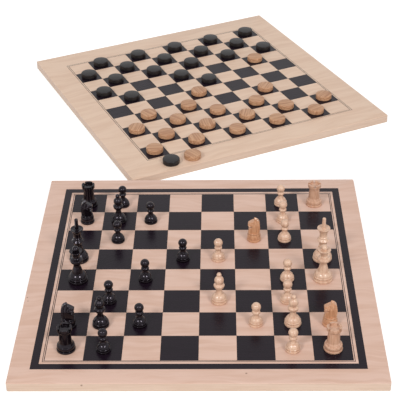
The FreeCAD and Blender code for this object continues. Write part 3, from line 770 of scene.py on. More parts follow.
def draughts_tree() -> NodeTree:
    """Tree that lays a round-rimmed disc on each point, with the grain turned its own way.

    Returns:
        The tree.
    """
    lengths = dict.fromkeys(("Diameter", "Thickness", "Rim"), "Float")
    nodes, given = new_tree("draughts", {**lengths, "Segments": "Int", "Seed": "Int"})
    thickness, rim = given["Thickness"], given["Rim"]
    top = nodes.out("ShaderNodeCombineXYZ", {"Z": thickness})
    axis = nodes.out("GeometryNodeCurvePrimitiveLine", {"End": top})
    axis = nodes.out("GeometryNodeResampleCurve", {"Curve": axis, "Count": DISC_STATIONS})
    height = nodes.out("ShaderNodeSeparateXYZ", {0: nodes.out("GeometryNodeInputPosition")}, "Z")
    depth = nodes.reckon("MINIMUM", height, nodes.reckon("SUBTRACT", thickness, height))
    short = nodes.reckon("MAXIMUM", nodes.reckon("SUBTRACT", rim, depth), 0.0)
    short, whole = nodes.reckon("MULTIPLY", short, short), nodes.reckon("MULTIPLY", rim, rim)
    bulge = nodes.reckon("SQRT", nodes.reckon("SUBTRACT", whole, short))
    flat = nodes.reckon("MULTIPLY_ADD", given["Diameter"], 0.5, bulge)
    radius = nodes.reckon("SUBTRACT", flat, rim)
    circle = {"Resolution": given["Segments"], "Radius": 1.0}
    ring = nodes.out("GeometryNodeCurvePrimitiveCircle", circle)
    sweep = {"Curve": axis, "Profile Curve": ring, "Scale": radius, "Fill Caps": True}
    disc = nodes.out("GeometryNodeCurveToMesh", sweep)
    laid = nodes.out("GeometryNodeInstanceOnPoints", {"Points": given["Geometry"], "Instance": disc})
    return end_tree(nodes, given, mark_each(nodes, laid, GRAIN_TURN, (0.0, math.pi), given["Seed"]))


def run_through(
    stations: Outline, closed: bool = False, spacing: float = 0.35
) -> tuple[list[Vector], list[bool]]:
    """Points along an outline of straight runs and arcs.

    Args:
        stations: Two coordinates and a kind for each station.
        closed: Whether the outline comes back to its first station.
        spacing: Distance between points on an arc, in mm.

    Returns:
        The points, in mm, and whether each is a corner.
    """
    spots = [Vector((first, second)) for first, second, _ in stations]
    corners = [order for order, station in enumerate(stations) if station[2] is C]
    pairs = list(zip(corners, corners[1:] + ([corners[0] + len(stations)] if closed else [])))
    points: list[Vector] = []
    kinds: list[bool] = []
    for start, finish in pairs:
        first, last = spots[start], spots[finish % len(spots)]
        points.append(first)
        kinds.append(True)
        if finish - start == 2:
            middle = spots[start + 1]
            points += arc_between(first, middle, last, spacing)
            kinds += [False] * (len(points) - len(kinds))
    if not closed:
        points.append(spots[-1])
        kinds.append(True)
    return points, kinds


def arc_between(first: Vector, middle: Vector, last: Vector, spacing: float) -> list[Vector]:
    """Points on the arc through three points, without its ends.

    Args:
        first: Start of the arc.
        middle: A point that it passes through.
        last: End of the arc.
        spacing: Distance between points.

    Returns:
        The points.
    """
    a, b = middle - first, last - first
    cross = 2 * (a.x * b.y - a.y * b.x)
    to_middle, to_last = a.length_squared, b.length_squared
    lift = Vector((b.y * to_middle - a.y * to_last, a.x * to_last - b.x * to_middle))
    centre = first + lift / cross
    radius = (first - centre).length
    start, through, end = (math.atan2(p.y - centre.y, p.x - centre.x) for p in (first, middle, last))
    sweep = (end - start) % math.tau
    if (through - start) % math.tau > sweep:
        sweep -= math.tau
    count = max(ARC_STEPS, round(abs(sweep) * radius / spacing))
    angles = [start + sweep * step / count for step in range(1, count)]
    return [centre + radius * Vector((math.cos(angle), math.sin(angle))) for angle in angles]


def ease_corners(points: Sequence[Vector], kinds: Sequence[bool], reach: float) -> list[Vector]:
    """Round the corners of an open outline as sanding does.

    Args:
        points: Points along the outline.
        kinds: Whether each point is a corner.
        reach: How far a rounding reaches along each side, in mm.

    Returns:
        The points of the eased outline.
    """
    eased = [points[0]]
    for before, here, after, corner in zip(points, points[1:], points[2:], kinds[1:]):
        back, on = before - here, after - here
        if not corner or back.angle(on) > FLAT_ANGLE:
            eased.append(here)
            continue
        start = here + back.normalized() * min(reach, back.length * SANDED_SHARE)
        finish = here + on.normalized() * min(reach, on.length * SANDED_SHARE)
        for share in (0.0, 0.25, 0.5, 0.75, 1.0):
            eased.append(start.lerp(here, share).lerp(here.lerp(finish, share), share))
    return eased + [points[-1]]


# Turned outlines from the rim of the foot up to the axis: height and radius in mm. The rings and grooves over
# the feet differ by up to a millimetre from the CAD model, as fine detail.
PAWN: Outline = (
    (0.00, 9.59, C), (1.64, 10.10, T), (3.05, 9.80, C), (3.30, 8.05, C), (4.60, 8.05, C),
    (4.85, 9.00, C), (5.65, 9.60, T), (6.40, 9.00, C), (6.60, 8.20, C), (7.30, 8.15, C),
    (7.55, 8.70, C), (9.50, 7.65, T), (11.97, 5.45, C), (12.25, 4.55, C), (12.95, 4.55, C),
    (14.48, 3.92, T), (16.92, 3.50, C), (18.05, 4.39, T), (18.99, 5.36, C), (20.12, 5.70, T),
    (22.00, 4.96, C), (22.52, 4.10, C), (23.57, 3.83, C), (30.62, 6.11, T), (35.10, 0.00, C),
)
BISHOP: Outline = (
    (0.00, 11.02, C), (1.85, 11.60, T), (3.45, 11.25, C), (3.75, 9.45, C), (5.20, 9.45, C),
    (5.50, 10.35, C), (6.40, 11.00, T), (7.25, 10.35, C), (7.50, 9.45, C), (8.30, 9.40, C),
    (8.60, 10.00, C), (10.85, 8.80, T), (13.49, 6.26, C), (13.80, 5.30, C), (14.55, 5.25, C),
    (18.15, 4.10, T), (21.80, 3.95, C), (24.54, 6.61, T), (27.58, 7.60, C), (28.64, 7.37, T),
    (29.40, 6.69, C), (30.35, 5.07, C), (31.87, 5.20, C), (33.58, 6.04, T), (36.62, 6.50, C),
    (39.66, 5.46, T), (41.94, 3.42, C), (42.70, 2.39, C), (46.05, 3.20, T), (48.40, 0.00, C),
)
QUEEN: Outline = (
    (0.00, 13.44, C), (1.95, 14.15, T), (3.65, 13.73, C), (3.95, 11.85, C), (5.45, 11.85, C),
    (5.75, 12.75, C), (6.75, 13.45, T), (7.70, 12.75, C), (7.95, 11.85, C), (8.80, 11.80, C),
    (9.10, 12.45, C), (11.60, 11.15, T), (14.25, 8.77, C), (14.55, 7.75, C), (15.35, 7.70, C),
    (19.84, 6.58, T), (25.12, 5.10, C), (29.52, 5.61, T), (32.60, 8.55, C), (34.80, 9.10, T),
    (37.00, 8.37, C), (38.08, 5.83, C), (38.94, 6.20, T), (39.81, 5.83, C), (40.46, 5.08, C),
    (46.07, 6.02, T), (50.39, 9.40, C), (51.26, 9.12, C), (51.26, 8.08, C), (50.82, 5.83, T),
    (50.72, 3.84, C), (50.93, 3.85, C), (55.24, 4.58, T), (58.60, 0.00, C),
)
KING: Outline = (
    (0.00, 13.39, C), (1.95, 14.10, T), (3.65, 13.68, C), (3.95, 11.80, C), (5.45, 11.80, C),
    (5.75, 12.70, C), (6.75, 13.40, T), (7.70, 12.70, C), (7.95, 11.80, C), (8.80, 11.75, C),
    (9.10, 12.40, C), (11.60, 11.10, T), (14.25, 8.74, C), (14.55, 7.75, C), (15.35, 7.70, C),
    (19.73, 6.91, T), (26.18, 5.40, C), (30.05, 6.16, T), (33.06, 8.54, C), (33.92, 8.80, C),
    (36.50, 6.34, C), (37.53, 5.83, C), (38.39, 6.39, T), (39.24, 5.83, C), (39.93, 5.36, C),
    (46.79, 6.11, T), (53.31, 9.40, C), (54.34, 9.12, C), (54.34, 8.27, C), (53.48, 5.64, T),
    (53.99, 2.86, C), (69.43, 2.55, C), (70.29, 2.29, T), (70.80, 1.56, C), (70.80, 0.00, C),
)
ROOK: Outline = (
    (0.00, 12.06, C), (1.56, 12.70, T), (3.30, 12.32, C), (3.60, 10.55, C), (4.50, 10.55, C),
    (4.90, 11.85, C), (6.76, 12.06, T), (9.10, 11.43, C), (9.49, 10.20, C), (10.92, 9.65, T),
    (13.00, 8.64, C), (28.98, 7.68, C), (30.00, 8.16, C), (30.43, 8.16, C), (31.87, 9.90, C),
    (37.20, 10.10, C), (37.20, 7.07, C), (34.03, 6.67, C), (34.03, 0.00, C),
)
KNIGHT_FOOT: Outline = (
    (0.00, 10.16, C), (1.68, 10.70, T), (3.60, 10.38, C), (3.95, 8.65, C), (4.85, 8.65, C),
    (5.20, 9.86, C), (8.12, 9.95, T), (11.48, 9.09, C), (11.80, 7.75, C), (12.65, 7.75, C),
    (13.30, 8.99, T), (14.00, 8.56, C), (14.00, 3.15, C), (8.85, 3.15, C), (8.85, 0.00, C),
)

# Turn of the saw cuts of rooks that were set down unlike the others, in degrees
ROOK_TURNS = {"white_rook_1": 0.0}

OUTLINES = {"pawn": PAWN, "bishop": BISHOP, "queen": QUEEN, "king": KING, "rook": ROOK, "knight": KNIGHT_FOOT}


def seat_of(node: str) -> Vector:
    """Middle of a CAD node's foot, in metres."""
    low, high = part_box(node)
    return Vector(((low.x + high.x) / 2, (low.y + high.y) / 2, low.z))


@dataclass
class Workshop:
    """Tools and blanks that the men are made with.

    Attributes:
        turning: Lathe tree.
        saw: Tree for a rook's crown.
        head: Carved knight's head, in metres about the middle of its foot's top.
    """

    turning: NodeTree
    saw: NodeTree
    head: Mesh


@dataclass
class Chessman:
    """One chessman, turned from a single stick; a knight's turned foot carries a carved head.

    Attributes:
        body: CAD body of the man.
        side: Side that it plays on.
        kind: Kind of man.
        segments: Facets round the turning.
        ease: Reach of the sanded corners, in mm.
    """

    body: str
    side: Side
    kind: str
    segments: int = 72
    ease: float = 0.3

    @property
    def finish(self) -> Wood:
        """Black lacquer, or the wood that the kind is made from.

        Returns:
            The finish.
        """
        if self.side is Side.BLACK:
            return CARVED_LACQUER if self.kind == "knight" else BLACK_LACQUER
        return WHITE_WOODS.get(self.kind, HORNBEAM)

    @property
    def turned_node(self) -> str:
        """CAD node of the turned piece."""
        return f"{self.body}_base" if self.kind == "knight" else self.body

    def turn(self, turning: NodeTree) -> Mesh:
        """Turn the man's outline at its square.

        Args:
            turning: The lathe tree.

        Returns:
            The turned mesh.
        """
        points, kinds = run_through(OUTLINES[self.kind])
        points, kinds = [Vector((0.0, 0.0)), *points], [True, *kinds]
        eased = ease_corners(points, kinds, self.ease)
        outline = bpy.data.meshes.new(f"{self.body}_outline")
        outline.from_pydata([(radius * MM, 0.0, height * MM) for height, radius in eased], [], [])
        values = {"Segments": self.segments, "Seat": seat_of(self.turned_node), "Finish": self.finish.make()}
        return outward(shape_with(turning, outline, values))

    def build(self, workshop: Workshop) -> None:
        """Make the man's pieces.

        Args:
            workshop: Tools and blanks.
        """
        mesh = self.turn(workshop.turning)
        if self.kind == "rook":
            crown = RookCrown(first_turn=ROOK_TURNS.get(self.body, RookCrown.first_turn))
            mesh = crown.cut(mesh, workshop.saw, seat_of(self.body), self.finish)
        add_piece(f"{self.turned_node}_turning", mesh, self.body, [self.turned_node])
        if self.kind == "knight":
            self.set_head(workshop.head.copy())

    def set_head(self, head: Mesh) -> None:
        """Set a knight's head on its foot, looking across the board.

        Args:
            head: Carved head.
        """
        low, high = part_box(self.turned_node)
        seat = Matrix.Translation(((low.x + high.x) / 2, (low.y + high.y) / 2, high.z))
        facing = math.pi if self.side is Side.WHITE else 0.0
        head.transform(seat @ Matrix.Rotation(facing, 4, "Z"))
        head.materials.append(self.finish.make())
        node = f"{self.body}_head"
        add_piece(f"{node}_carving", head, self.body, [node])


@dataclass
class RookCrown:
    """Notched crown of a rook.

    Attributes:
        height: Height of the rook, in mm.
        notch_width: Width of a saw cut, in mm.
        notch_depth: Depth of a saw cut, in mm.
        blade: Length of the cut, in mm, past the crown on both sides.
        cuts: Cuts across the crown.
        first_turn: Turn of the first cut, in degrees.
    """

    height: float = 37.2
    notch_width: float = 3.0
    notch_depth: float = 3.4
    blade: float = 24.0
    cuts: int = 2
    first_turn: float = 45.0

    def cut(self, mesh: Mesh, saw: NodeTree, seat: Vector, finish: Wood) -> Mesh:
        """Saw the notches.

        Args:
            mesh: The turned rook.
            saw: The saw tree.
            seat: Middle of the rook's foot.
            finish: The rook's finish.

        Returns:
            The sawn mesh.
        """
        values = {
            "Cuts": self.cuts,
            "Blade": (self.blade * MM, self.notch_width * MM, 2 * self.notch_depth * MM),
            "Top": seat + Vector((0, 0, self.height * MM)),
            "First Turn": math.radians(self.first_turn),
            "Finish": finish.make(),
        }
        return shape_with(saw, mesh, values)


def distance_to(line: Sequence[tuple[float, float]], x: np.ndarray, y: np.ndarray) -> np.ndarray:
    """Distance of points from a line of straight runs.

    Args:
        line: Corners of the line.
        x: First coordinate of the points.
        y: Second coordinate of the points.

    Returns:
        The distances.
    """
    nearest = np.full(len(x), np.inf)
    for (x0, y0), (x1, y1) in zip(line, line[1:]):
        run = (x1 - x0) ** 2 + (y1 - y0) ** 2
        share = np.clip(((x - x0) * (x1 - x0) + (y - y0) * (y1 - y0)) / run, 0, 1)
        nearest = np.minimum(nearest, np.hypot(x - x0 - share * (x1 - x0), y - y0 - share * (y1 - y0)))
    return nearest


@dataclass(frozen=True)
class Groove:
    """A line cut into both sides of a knight's head.

    Attributes:
        line: Corners of the line, in mm forward and up from the middle of the foot's top.
        width: Half width of the cut, in mm.
        depth: Depth of the cut, in mm.
    """

    line: tuple[tuple[float, float], ...]
    width: float
    depth: float


@dataclass(frozen=True)
class Spot:
    """A round mark on both sides of a knight's head.

    Attributes:
        forward: Place forward of the foot's middle, in mm.
        up: Height above the foot, in mm.
        radius: Radius, in mm.
        depth: Depth of the cut, in mm.
    """

    forward: float
    up: float
    radius: float
    depth: float


# Locks of a knight's mane, in mm forward and up from the middle of the foot's top
LOCKS = (
    ((-3.2, 18.4), (-7.5, 17.2)), ((-3.8, 15.6), (-8.5, 14.3)), ((-4.2, 12.9), (-8.9, 11.4)),
    ((-4.4, 10.2), (-9.1, 8.5)), ((-4.5, 7.5), (-9.1, 5.6)), ((-4.5, 4.8), (-8.9, 2.9)),
)


@dataclass
class KnightHead:
    """Carved head of a knight, looking along +X, with the tenon that holds it in its foot.

    Attributes:
        side: Side view in mm, forward and up from the middle of the foot's top.
        thickness: Thickness of the neck, in mm.
        brow: Height above which the head thins, in mm.
        ear: Height of the ears, in mm, and their thickness as a share of the neck's.
        muzzle: Start and length of the thinned muzzle, in mm forward, and the share that it loses.
        chin: Height where the muzzle starts and the height over which its thinning comes in, in mm.
        parting: Start, height, half width and depth of the cut between the ears, in mm.
        shoulder: Height up to which the sides stay flat over the tenon, in mm.
        tenon: Radius and length of the tenon, in mm.
        voxel: Grain of the carving, in mm.
        grooves: Mouth, cheek, mane and its locks.
        eye: Eyeball, raised in a ring-shaped cut.
        eye_ring: Radius of the ring as a share of the eyeball's, its half width in mm and its depth in mm.
        nostril: Nostril.
    """

    side: Outline = (
        (-6.92, 0.00, C), (6.73, 0.00, C), (8.19, 3.81, T), (5.64, 8.57, C), (2.18, 10.47, C),
        (2.55, 11.66, C), (6.92, 10.71, C), (9.10, 13.80, T), (6.92, 16.90, C), (0.36, 20.71, C),
        (-0.55, 23.80, C), (-5.82, 20.47, T), (-8.37, 13.80, C), (-8.55, 6.66, T),
    )
    thickness: float = 11.0
    brow: float = 11.9
    ear: tuple[float, float] = (23.8, 0.48)
    muzzle: tuple[float, float, float] = (2.5, 7.0, 0.26)
    chin: tuple[float, float] = (9.4, 2.0)
    parting: tuple[float, float, float, float] = (20.6, 2.6, 0.9, 1.6)
    shoulder: float = 0.4
    tenon: tuple[float, float] = (3.0, 5.0)
    voxel: float = 0.36
    grooves: tuple[Groove, ...] = (
        Groove(((9.3, 12.5), (5.5, 13.0)), 0.42, 0.75),
        Groove(((2.6, 17.3), (0.3, 15.8), (-0.2, 13.8), (1.2, 12.1)), 0.55, 0.45),
        Groove(((-1.8, 21.2), (-3.6, 17.4), (-4.3, 12.3), (-4.6, 6.8), (-4.2, 0.7)), 0.5, 0.6),
        *(Groove(line, width=0.4, depth=0.3) for line in LOCKS),
    )
    eye: Spot = Spot(3.3, 17.0, 0.9, -0.35)
    eye_ring: tuple[float, float, float] = (1.35, 0.4, 0.5)
    nostril: Spot = Spot(7.8, 14.6, 0.6, 0.6)

    def blank(self) -> Mesh:
        """Sawn blank of the head, with its tenon, as one even skin.

        Returns:
            The blank, in mm.
        """
        points, _ = run_through(self.side, closed=True, spacing=0.5)
        half = self.thickness / 2
        bm = bmesh.new()
        face = bm.faces.new([bm.verts.new((point.x, -half, point.y)) for point in points])
        grown = bmesh.ops.extrude_face_region(bm, geom=[face])
        raised = [item for item in grown["geom"] if isinstance(item, bmesh.types.BMVert)]
        bmesh.ops.translate(bm, verts=raised, vec=(0, self.thickness, 0))
        radius, length = self.tenon
        overlap = 1.0
        peg = Matrix.Translation((0, 0, (overlap - length) / 2))
        bmesh.ops.create_cone(
            bm, cap_ends=True, segments=40, radius1=radius, radius2=radius, depth=length + overlap, matrix=peg
        )
        bmesh.ops.triangulate(bm, faces=bm.faces)
        holder = put("knight_blank", mesh_from(bm, "knight_blank"))
        remesh = holder.modifiers.new("skin", "REMESH")
        remesh.mode = "VOXEL"
        remesh.voxel_size = self.voxel
        smooth = holder.modifiers.new("sanding", "SMOOTH")
        smooth.factor = 0.5
        smooth.iterations = 5
        return plain_mesh(holder)

    def cut_depth(self, forward: np.ndarray, up: np.ndarray) -> np.ndarray:
        """Depth of the carving on the sides.

        Args:
            forward: Places forward of the foot's middle, in mm.
            up: Heights above the foot, in mm.

        Returns:
            The depths, in mm.
        """
        depth = np.zeros(len(forward))
        for groove in self.grooves:
            away = distance_to(groove.line, forward, up)
            depth = np.maximum(depth, groove.depth * np.exp(-((away / groove.width) ** 2)))
        eye, (share, width, ring_depth) = self.eye, self.eye_ring
        away = np.hypot(forward - eye.forward, up - eye.up)
        depth = np.maximum(depth, ring_depth * np.exp(-(((away - eye.radius * share) / width) ** 2)))
        depth += eye.depth * np.clip(1 - (away / eye.radius) ** 2, 0, 1)
        nostril = self.nostril
        away = np.hypot(forward - nostril.forward, up - nostril.up)
        return depth + nostril.depth * np.exp(-((away / nostril.radius) ** 2))

    def carve(self) -> Mesh:
        """Carve the blank.

        Returns:
            The head, in metres about the middle of the foot's top.
        """
        mesh = self.blank()
        normals = np.array([vertex.normal for vertex in mesh.vertices])
        forward, across, up = vertices_of(mesh).astype(float).T
        ear_height, ear_share = self.ear
        thinned = np.clip((up - self.brow) / (ear_height - self.brow), 0, 1) * (1 - ear_share)
        start, length, lost = self.muzzle
        chin, rise = self.chin
        muzzle = np.clip((forward - start) / length, 0, 1) * np.clip((up - chin) / rise, 0, 1) * lost
        above = up > self.shoulder
        depth = self.cut_depth(forward, up) * normals[:, 1] ** 2
        across = across * np.where(above, (1 - thinned) * (1 - muzzle), 1.0)
        across -= np.sign(across) * depth * above
        start, height, width, parted = self.parting
        up = up - parted * np.clip((up - start) / height, 0, 1) * np.exp(-((across / width) ** 2))
        spots = np.stack([forward, across, up], axis=1) * MM
        mesh.vertices.foreach_set("co", spots.astype(np.float32).ravel())
        return outward(mesh)


def add_block(
    bm: bmesh.types.BMesh, size: Sequence[float], middle: Sequence[float]
) -> list[bmesh.types.BMVert]:
    """Add a square-edged block.

    Args:
        bm: Mesh that it goes into.
        size: Its three sides.
        middle: Its middle.

    Returns:
        Its corners.
    """
    made = bmesh.ops.create_cube(bm, size=1.0)["verts"]
    bmesh.ops.scale(bm, verts=made, vec=size)
    bmesh.ops.translate(bm, verts=made, vec=middle)
    return made


SQUARE_CORNERS = ((-1, -1), (1, -1), (1, 1), (-1, 1))


@dataclass
class InlaidBoard:
    """A veneered board with an inlaid face.

    Attributes:
        body: CAD body of the board.
        game: First word of its squares' node names.
        count: Squares along a side.
        square: Side of a square, in mm.
        turn: Turn of the board about the upright, in degrees.
        first_light: What is left of a light square's column plus its row, counted in twos.
        pale_frames: Inner and outer half sides of the pale frames, in mm, the margin last.
        black_frames: Inner and outer half sides of the black frames, in mm.
        lines_node: CAD node of the black frames.
        maple: Finish of the pale face.
        stain: Finish of the black squares and frames.
        seed: Seed for the squares' tones.
        half: Half the board's side, in mm.
        levels: Heights of the underside and of the tops of the backing, the core and the face, in mm.
        lipping: Width of a lipping, in mm.
        corner: Radius of the board's upright corners, in mm.
        arris: Radius of the board's level edges, in mm.
        joint: Glue joint between squares, in mm.
        ease: Eased edge of a square, in mm.
    """

    body: str
    game: str
    count: int
    square: float
    turn: float
    first_light: int
    pale_frames: tuple[tuple[float, float], ...]
    black_frames: tuple[tuple[float, float], ...]
    lines_node: str
    maple: Wood
    stain: Wood
    seed: int
    half: float = 244.0
    levels: tuple[float, float, float, float] = (0.0, 0.8, 12.8, 13.6)
    lipping: float = 8.0
    corner: float = 2.0
    arris: float = 0.7
    joint: float = 0.1
    ease: float = 0.12

    @property
    def place(self) -> Matrix:
        """Place and turn of the board.

        Returns:
            The transform, in metres.
        """
        low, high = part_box(f"{self.body}_backing")
        middle = (low + high) / 2
        return Matrix.Translation((middle.x, middle.y, 0)) @ Matrix.Rotation(math.radians(self.turn), 4, "Z")

    def lay(self, tiles: NodeTree) -> None:
        """Make all the board's pieces.

        Args:
            tiles: The tree for inlaid squares.
        """
        self.build_squares(tiles)
        self.build_frames(self.pale_frames, f"{self.body}_pale_border", "pale_veneer", self.maple)
        self.build_frames(self.black_frames, self.lines_node, "black_veneer", self.stain)
        self.build_lippings()
        self.build_backing()
        keep_node(f"{self.body}_core", CORE)

    def build_squares(self, tiles: NodeTree) -> None:
        """Inlay the light and the dark squares.

        Args:
            tiles: The tree for inlaid squares.
        """
        for shade, finish, slot, first in (
            ("light", self.maple, "pale_veneer", self.first_light),
            ("dark", self.stain, "black_veneer", 1 - self.first_light),
        ):
            values = {
                "Count": self.count,
                "First": first,
                "Square": self.square * MM,
                "Joint": self.joint * MM,
                "Thickness": (self.levels[3] - self.levels[2]) * MM,
                "Ease": self.ease * MM,
                "Seed": self.seed + first,
                "Finish": finish.make(),
            }
            mesh = shape_with(tiles, bpy.data.meshes.new("squares"), values)
            mesh.transform(self.place @ Matrix.Translation((0, 0, self.levels[2] * MM)))
            node = f"{self.game}_{shade}_squares"
            add_piece(f"{node}_inlay", mesh, self.body, [node])

    def build_frames(
        self, frames: Sequence[tuple[float, float]], node: str, slot: str, finish: Wood
    ) -> None:
        """Lay frames of veneer; the margin, which reaches the edge, gets round corners and an upper arris.

        Args:
            frames: Inner and outer half side of each frame, in mm.
            node: CAD node of the frames.
            slot: Material slot of the record.
            finish: Their finish.
        """
        bm = bmesh.new()
        low, high = self.levels[2:]
        for inner, outer in frames:
            rims = {}
            for name, half, level in (
                ("il", inner, low), ("ih", inner, high), ("ol", outer, low), ("oh", outer, high)
            ):
                rims[name] = [bm.verts.new((x * half, y * half, level)) for x, y in SQUARE_CORNERS]
            for order in range(4):
                following = (order + 1) % 4
                for name, beside in (("ol", "oh"), ("oh", "ih"), ("ih", "il"), ("il", "ol")):
                    one, two = rims[name], rims[beside]
                    bm.faces.new((one[order], one[following], two[following], two[order]))
        self.round_outside(bm, high)
        self.settle(bm, node, "veneer", slot, finish)

    def round_outside(self, bm: bmesh.types.BMesh, level: float | None) -> None:
        """Round a sheet's outer corners and the outer edges at one level.

        Args:
            bm: The sheet, in mm about the board's middle.
            level: Height of the edges to round, or None to leave them.
        """

        def at_corner(vertex: bmesh.types.BMVert) -> bool:
            """Whether a point lies at one of the board's corners."""
            return min(abs(vertex.co.x), abs(vertex.co.y)) > self.half - HAIR

        uprights = [
            edge
            for edge in bm.edges
            if all(at_corner(vertex) for vertex in edge.verts)
            and abs(edge.verts[0].co.z - edge.verts[1].co.z) > HAIR
        ]
        bmesh.ops.bevel(bm, geom=uprights, offset=self.corner, segments=5, profile=0.5, affect="EDGES")
        if level is None:
            return
        rim = []
        for edge in bm.edges:
            rises = [abs(face.normal.z) for face in edge.link_faces]
            turns = any(rise < WALL_RISE for rise in rises) and any(rise > WALL_RISE for rise in rises)
            far = all(max(abs(v.co.x), abs(v.co.y)) > self.half - self.corner for v in edge.verts)
            if turns and far and all(abs(v.co.z - level) < HAIR for v in edge.verts):
                rim.append(edge)
        bmesh.ops.bevel(bm, geom=rim, offset=self.arris, segments=3, profile=0.5, affect="EDGES")

    def build_backing(self) -> None:
        """Lay the backing with its lower arris."""
        bm = bmesh.new()
        low, high = self.levels[:2]
        add_block(bm, (2 * self.half, 2 * self.half, high - low), (0, 0, (low + high) / 2))
        bm.normal_update()
        self.round_outside(bm, low)
        self.settle(bm, f"{self.body}_backing", "sheet", "backing_veneer", BACKING)

    def build_lippings(self) -> None:
        """Set the four lippings, two of full length with two between them."""
        bm = bmesh.new()
        inner = self.half - self.lipping
        middle = self.half - self.lipping / 2
        low, high = self.levels[1:3]
        for x, y in ((0, -1), (0, 1), (-1, 0), (1, 0)):
            full = x == 0
            size = (2 * self.half, self.lipping) if full else (self.lipping, 2 * (inner - self.joint))
            made = add_block(bm, (*size, high - low), (x * middle, y * middle, (low + high) / 2))
            for face in {face for vertex in made for face in vertex.link_faces}:
                face.material_index = 0 if full else 1
        self.round_outside(bm, None)
        finishes = [lipping_maple(self.turn + turn) for turn in (0.0, 90.0)]
        self.settle(bm, f"{self.body}_lippings", "strips", "lipping_wood", *finishes)

    def settle(self, bm: bmesh.types.BMesh, node: str, form: str, slot: str, *finishes: Wood) -> None:
        """Take a piece from mm about the board's middle to its place, and dress it.

        Args:
            bm: The piece.
            node: CAD node that it stands for.
            form: Last word of its name.
            slot: Material slot of the record; not used.
            finishes: Finish for each material index.
        """
        mesh = mesh_from(bm, node)
        mesh.transform(self.place @ Matrix.Scale(MM, 4))
        for finish in finishes:
            mesh.materials.append(finish.make())
        add_piece(f"{node}_{form}", mesh, self.body, [node])


CHESS_BOARD = InlaidBoard(
    body="chess_board", game="chess", count=8, square=50.0, turn=0.0, first_light=0,
    pale_frames=((200.85, 202.05), (202.95, 206.5), (217.1, 244.0)),
    black_frames=((200.0, 200.85), (202.05, 202.95), (206.5, 217.1)),
    lines_node="chess_board_black_border", maple=CHESS_MAPLE, stain=CHESS_STAIN, seed=11,
)
DRAUGHTS_BOARD = InlaidBoard(
    body="draughts_board", game="draughts", count=10, square=39.0, turn=BOARD_TURN, first_light=1,
    pale_frames=((195.8, 197.8), (198.6, 244.0)),
    black_frames=((195.0, 195.8), (197.8, 198.6)),
    lines_node="draughts_board_lines", maple=DRAUGHTS_MAPLE, stain=DRAUGHTS_STAIN, seed=23,
)


@dataclass
class DraughtGroup:
    """Draughts of one side that share a CAD node.

    Attributes:
        node: CAD node and body of the group.
        side: Side that they play on.
        seed: Seed for the turns of their grain.
        diameter: Diameter of a draught, in mm.
        thickness: Thickness of a draught, in mm.
        rim: Radius of its rim, in mm.
        segments: Facets round a draught.
    """

    node: str
    side: Side
    seed: int
    diameter: float = 28.5
    thickness: float = 9.0
    rim: float = 1.6
    segments: int = 72

    def places(self) -> list[Vector]:
        """Middle of each draught's underside, read from its CAD solid.

        Returns:
            The places, in metres.
        """
        low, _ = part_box(self.node)
        if self.node.endswith("captured"):
            return [seat_of(self.node)]
        place = DRAUGHTS_BOARD.place
        spots = vertices_of(frame["nodes"][self.node].data) @ np.array(place.inverted().to_3x3()).T
        spots += np.array(place.inverted().translation)
        cells = np.floor(spots[:, :2] / (DRAUGHTS_BOARD.square * MM)).astype(int)
        found = []
        for cell in sorted({tuple(cell) for cell in cells.tolist()}):
            own = spots[(cells == cell).all(axis=1)]
            middle = (own.min(axis=0) + own.max(axis=0)) / 2
            found.append(place @ Vector((middle[0], middle[1], low.z)))
        return found

    def build(self, tree: NodeTree) -> None:
        """Make the group's discs as one piece.

        Args:
            tree: The tree for draughts.
        """
        points = bpy.data.meshes.new(f"{self.node}_places")
        points.from_pydata([tuple(place) for place in self.places()], [], [])
        finish = DRAUGHT_STAIN if self.side is Side.BLACK else DRAUGHT_BEECH
        values = {
            "Diameter": self.diameter * MM,
            "Thickness": self.thickness * MM,
            "Rim": self.rim * MM,
            "Segments": self.segments,
            "Seed": self.seed,
            "Finish": finish.make(),
        }
        mesh = outward(shape_with(tree, points, values))
        add_piece(f"{self.node}_discs", mesh, self.node, [self.node])


def white_rays(nodes: Nodes) -> NodeSocket:
    """Find the rays that see the background, straight, mirrored or through glass.

    Args:
        nodes: Tree of the floor or the world.

    Returns:
        One for these rays and nought for the rest.
    """
    rays = nodes.add("ShaderNodeLightPath").outputs
    seen = nodes.reckon("MAXIMUM", rays["Is Camera Ray"], rays["Is Glossy Ray"])
    return nodes.reckon("MAXIMUM", seen, rays["Is Transmission Ray"])


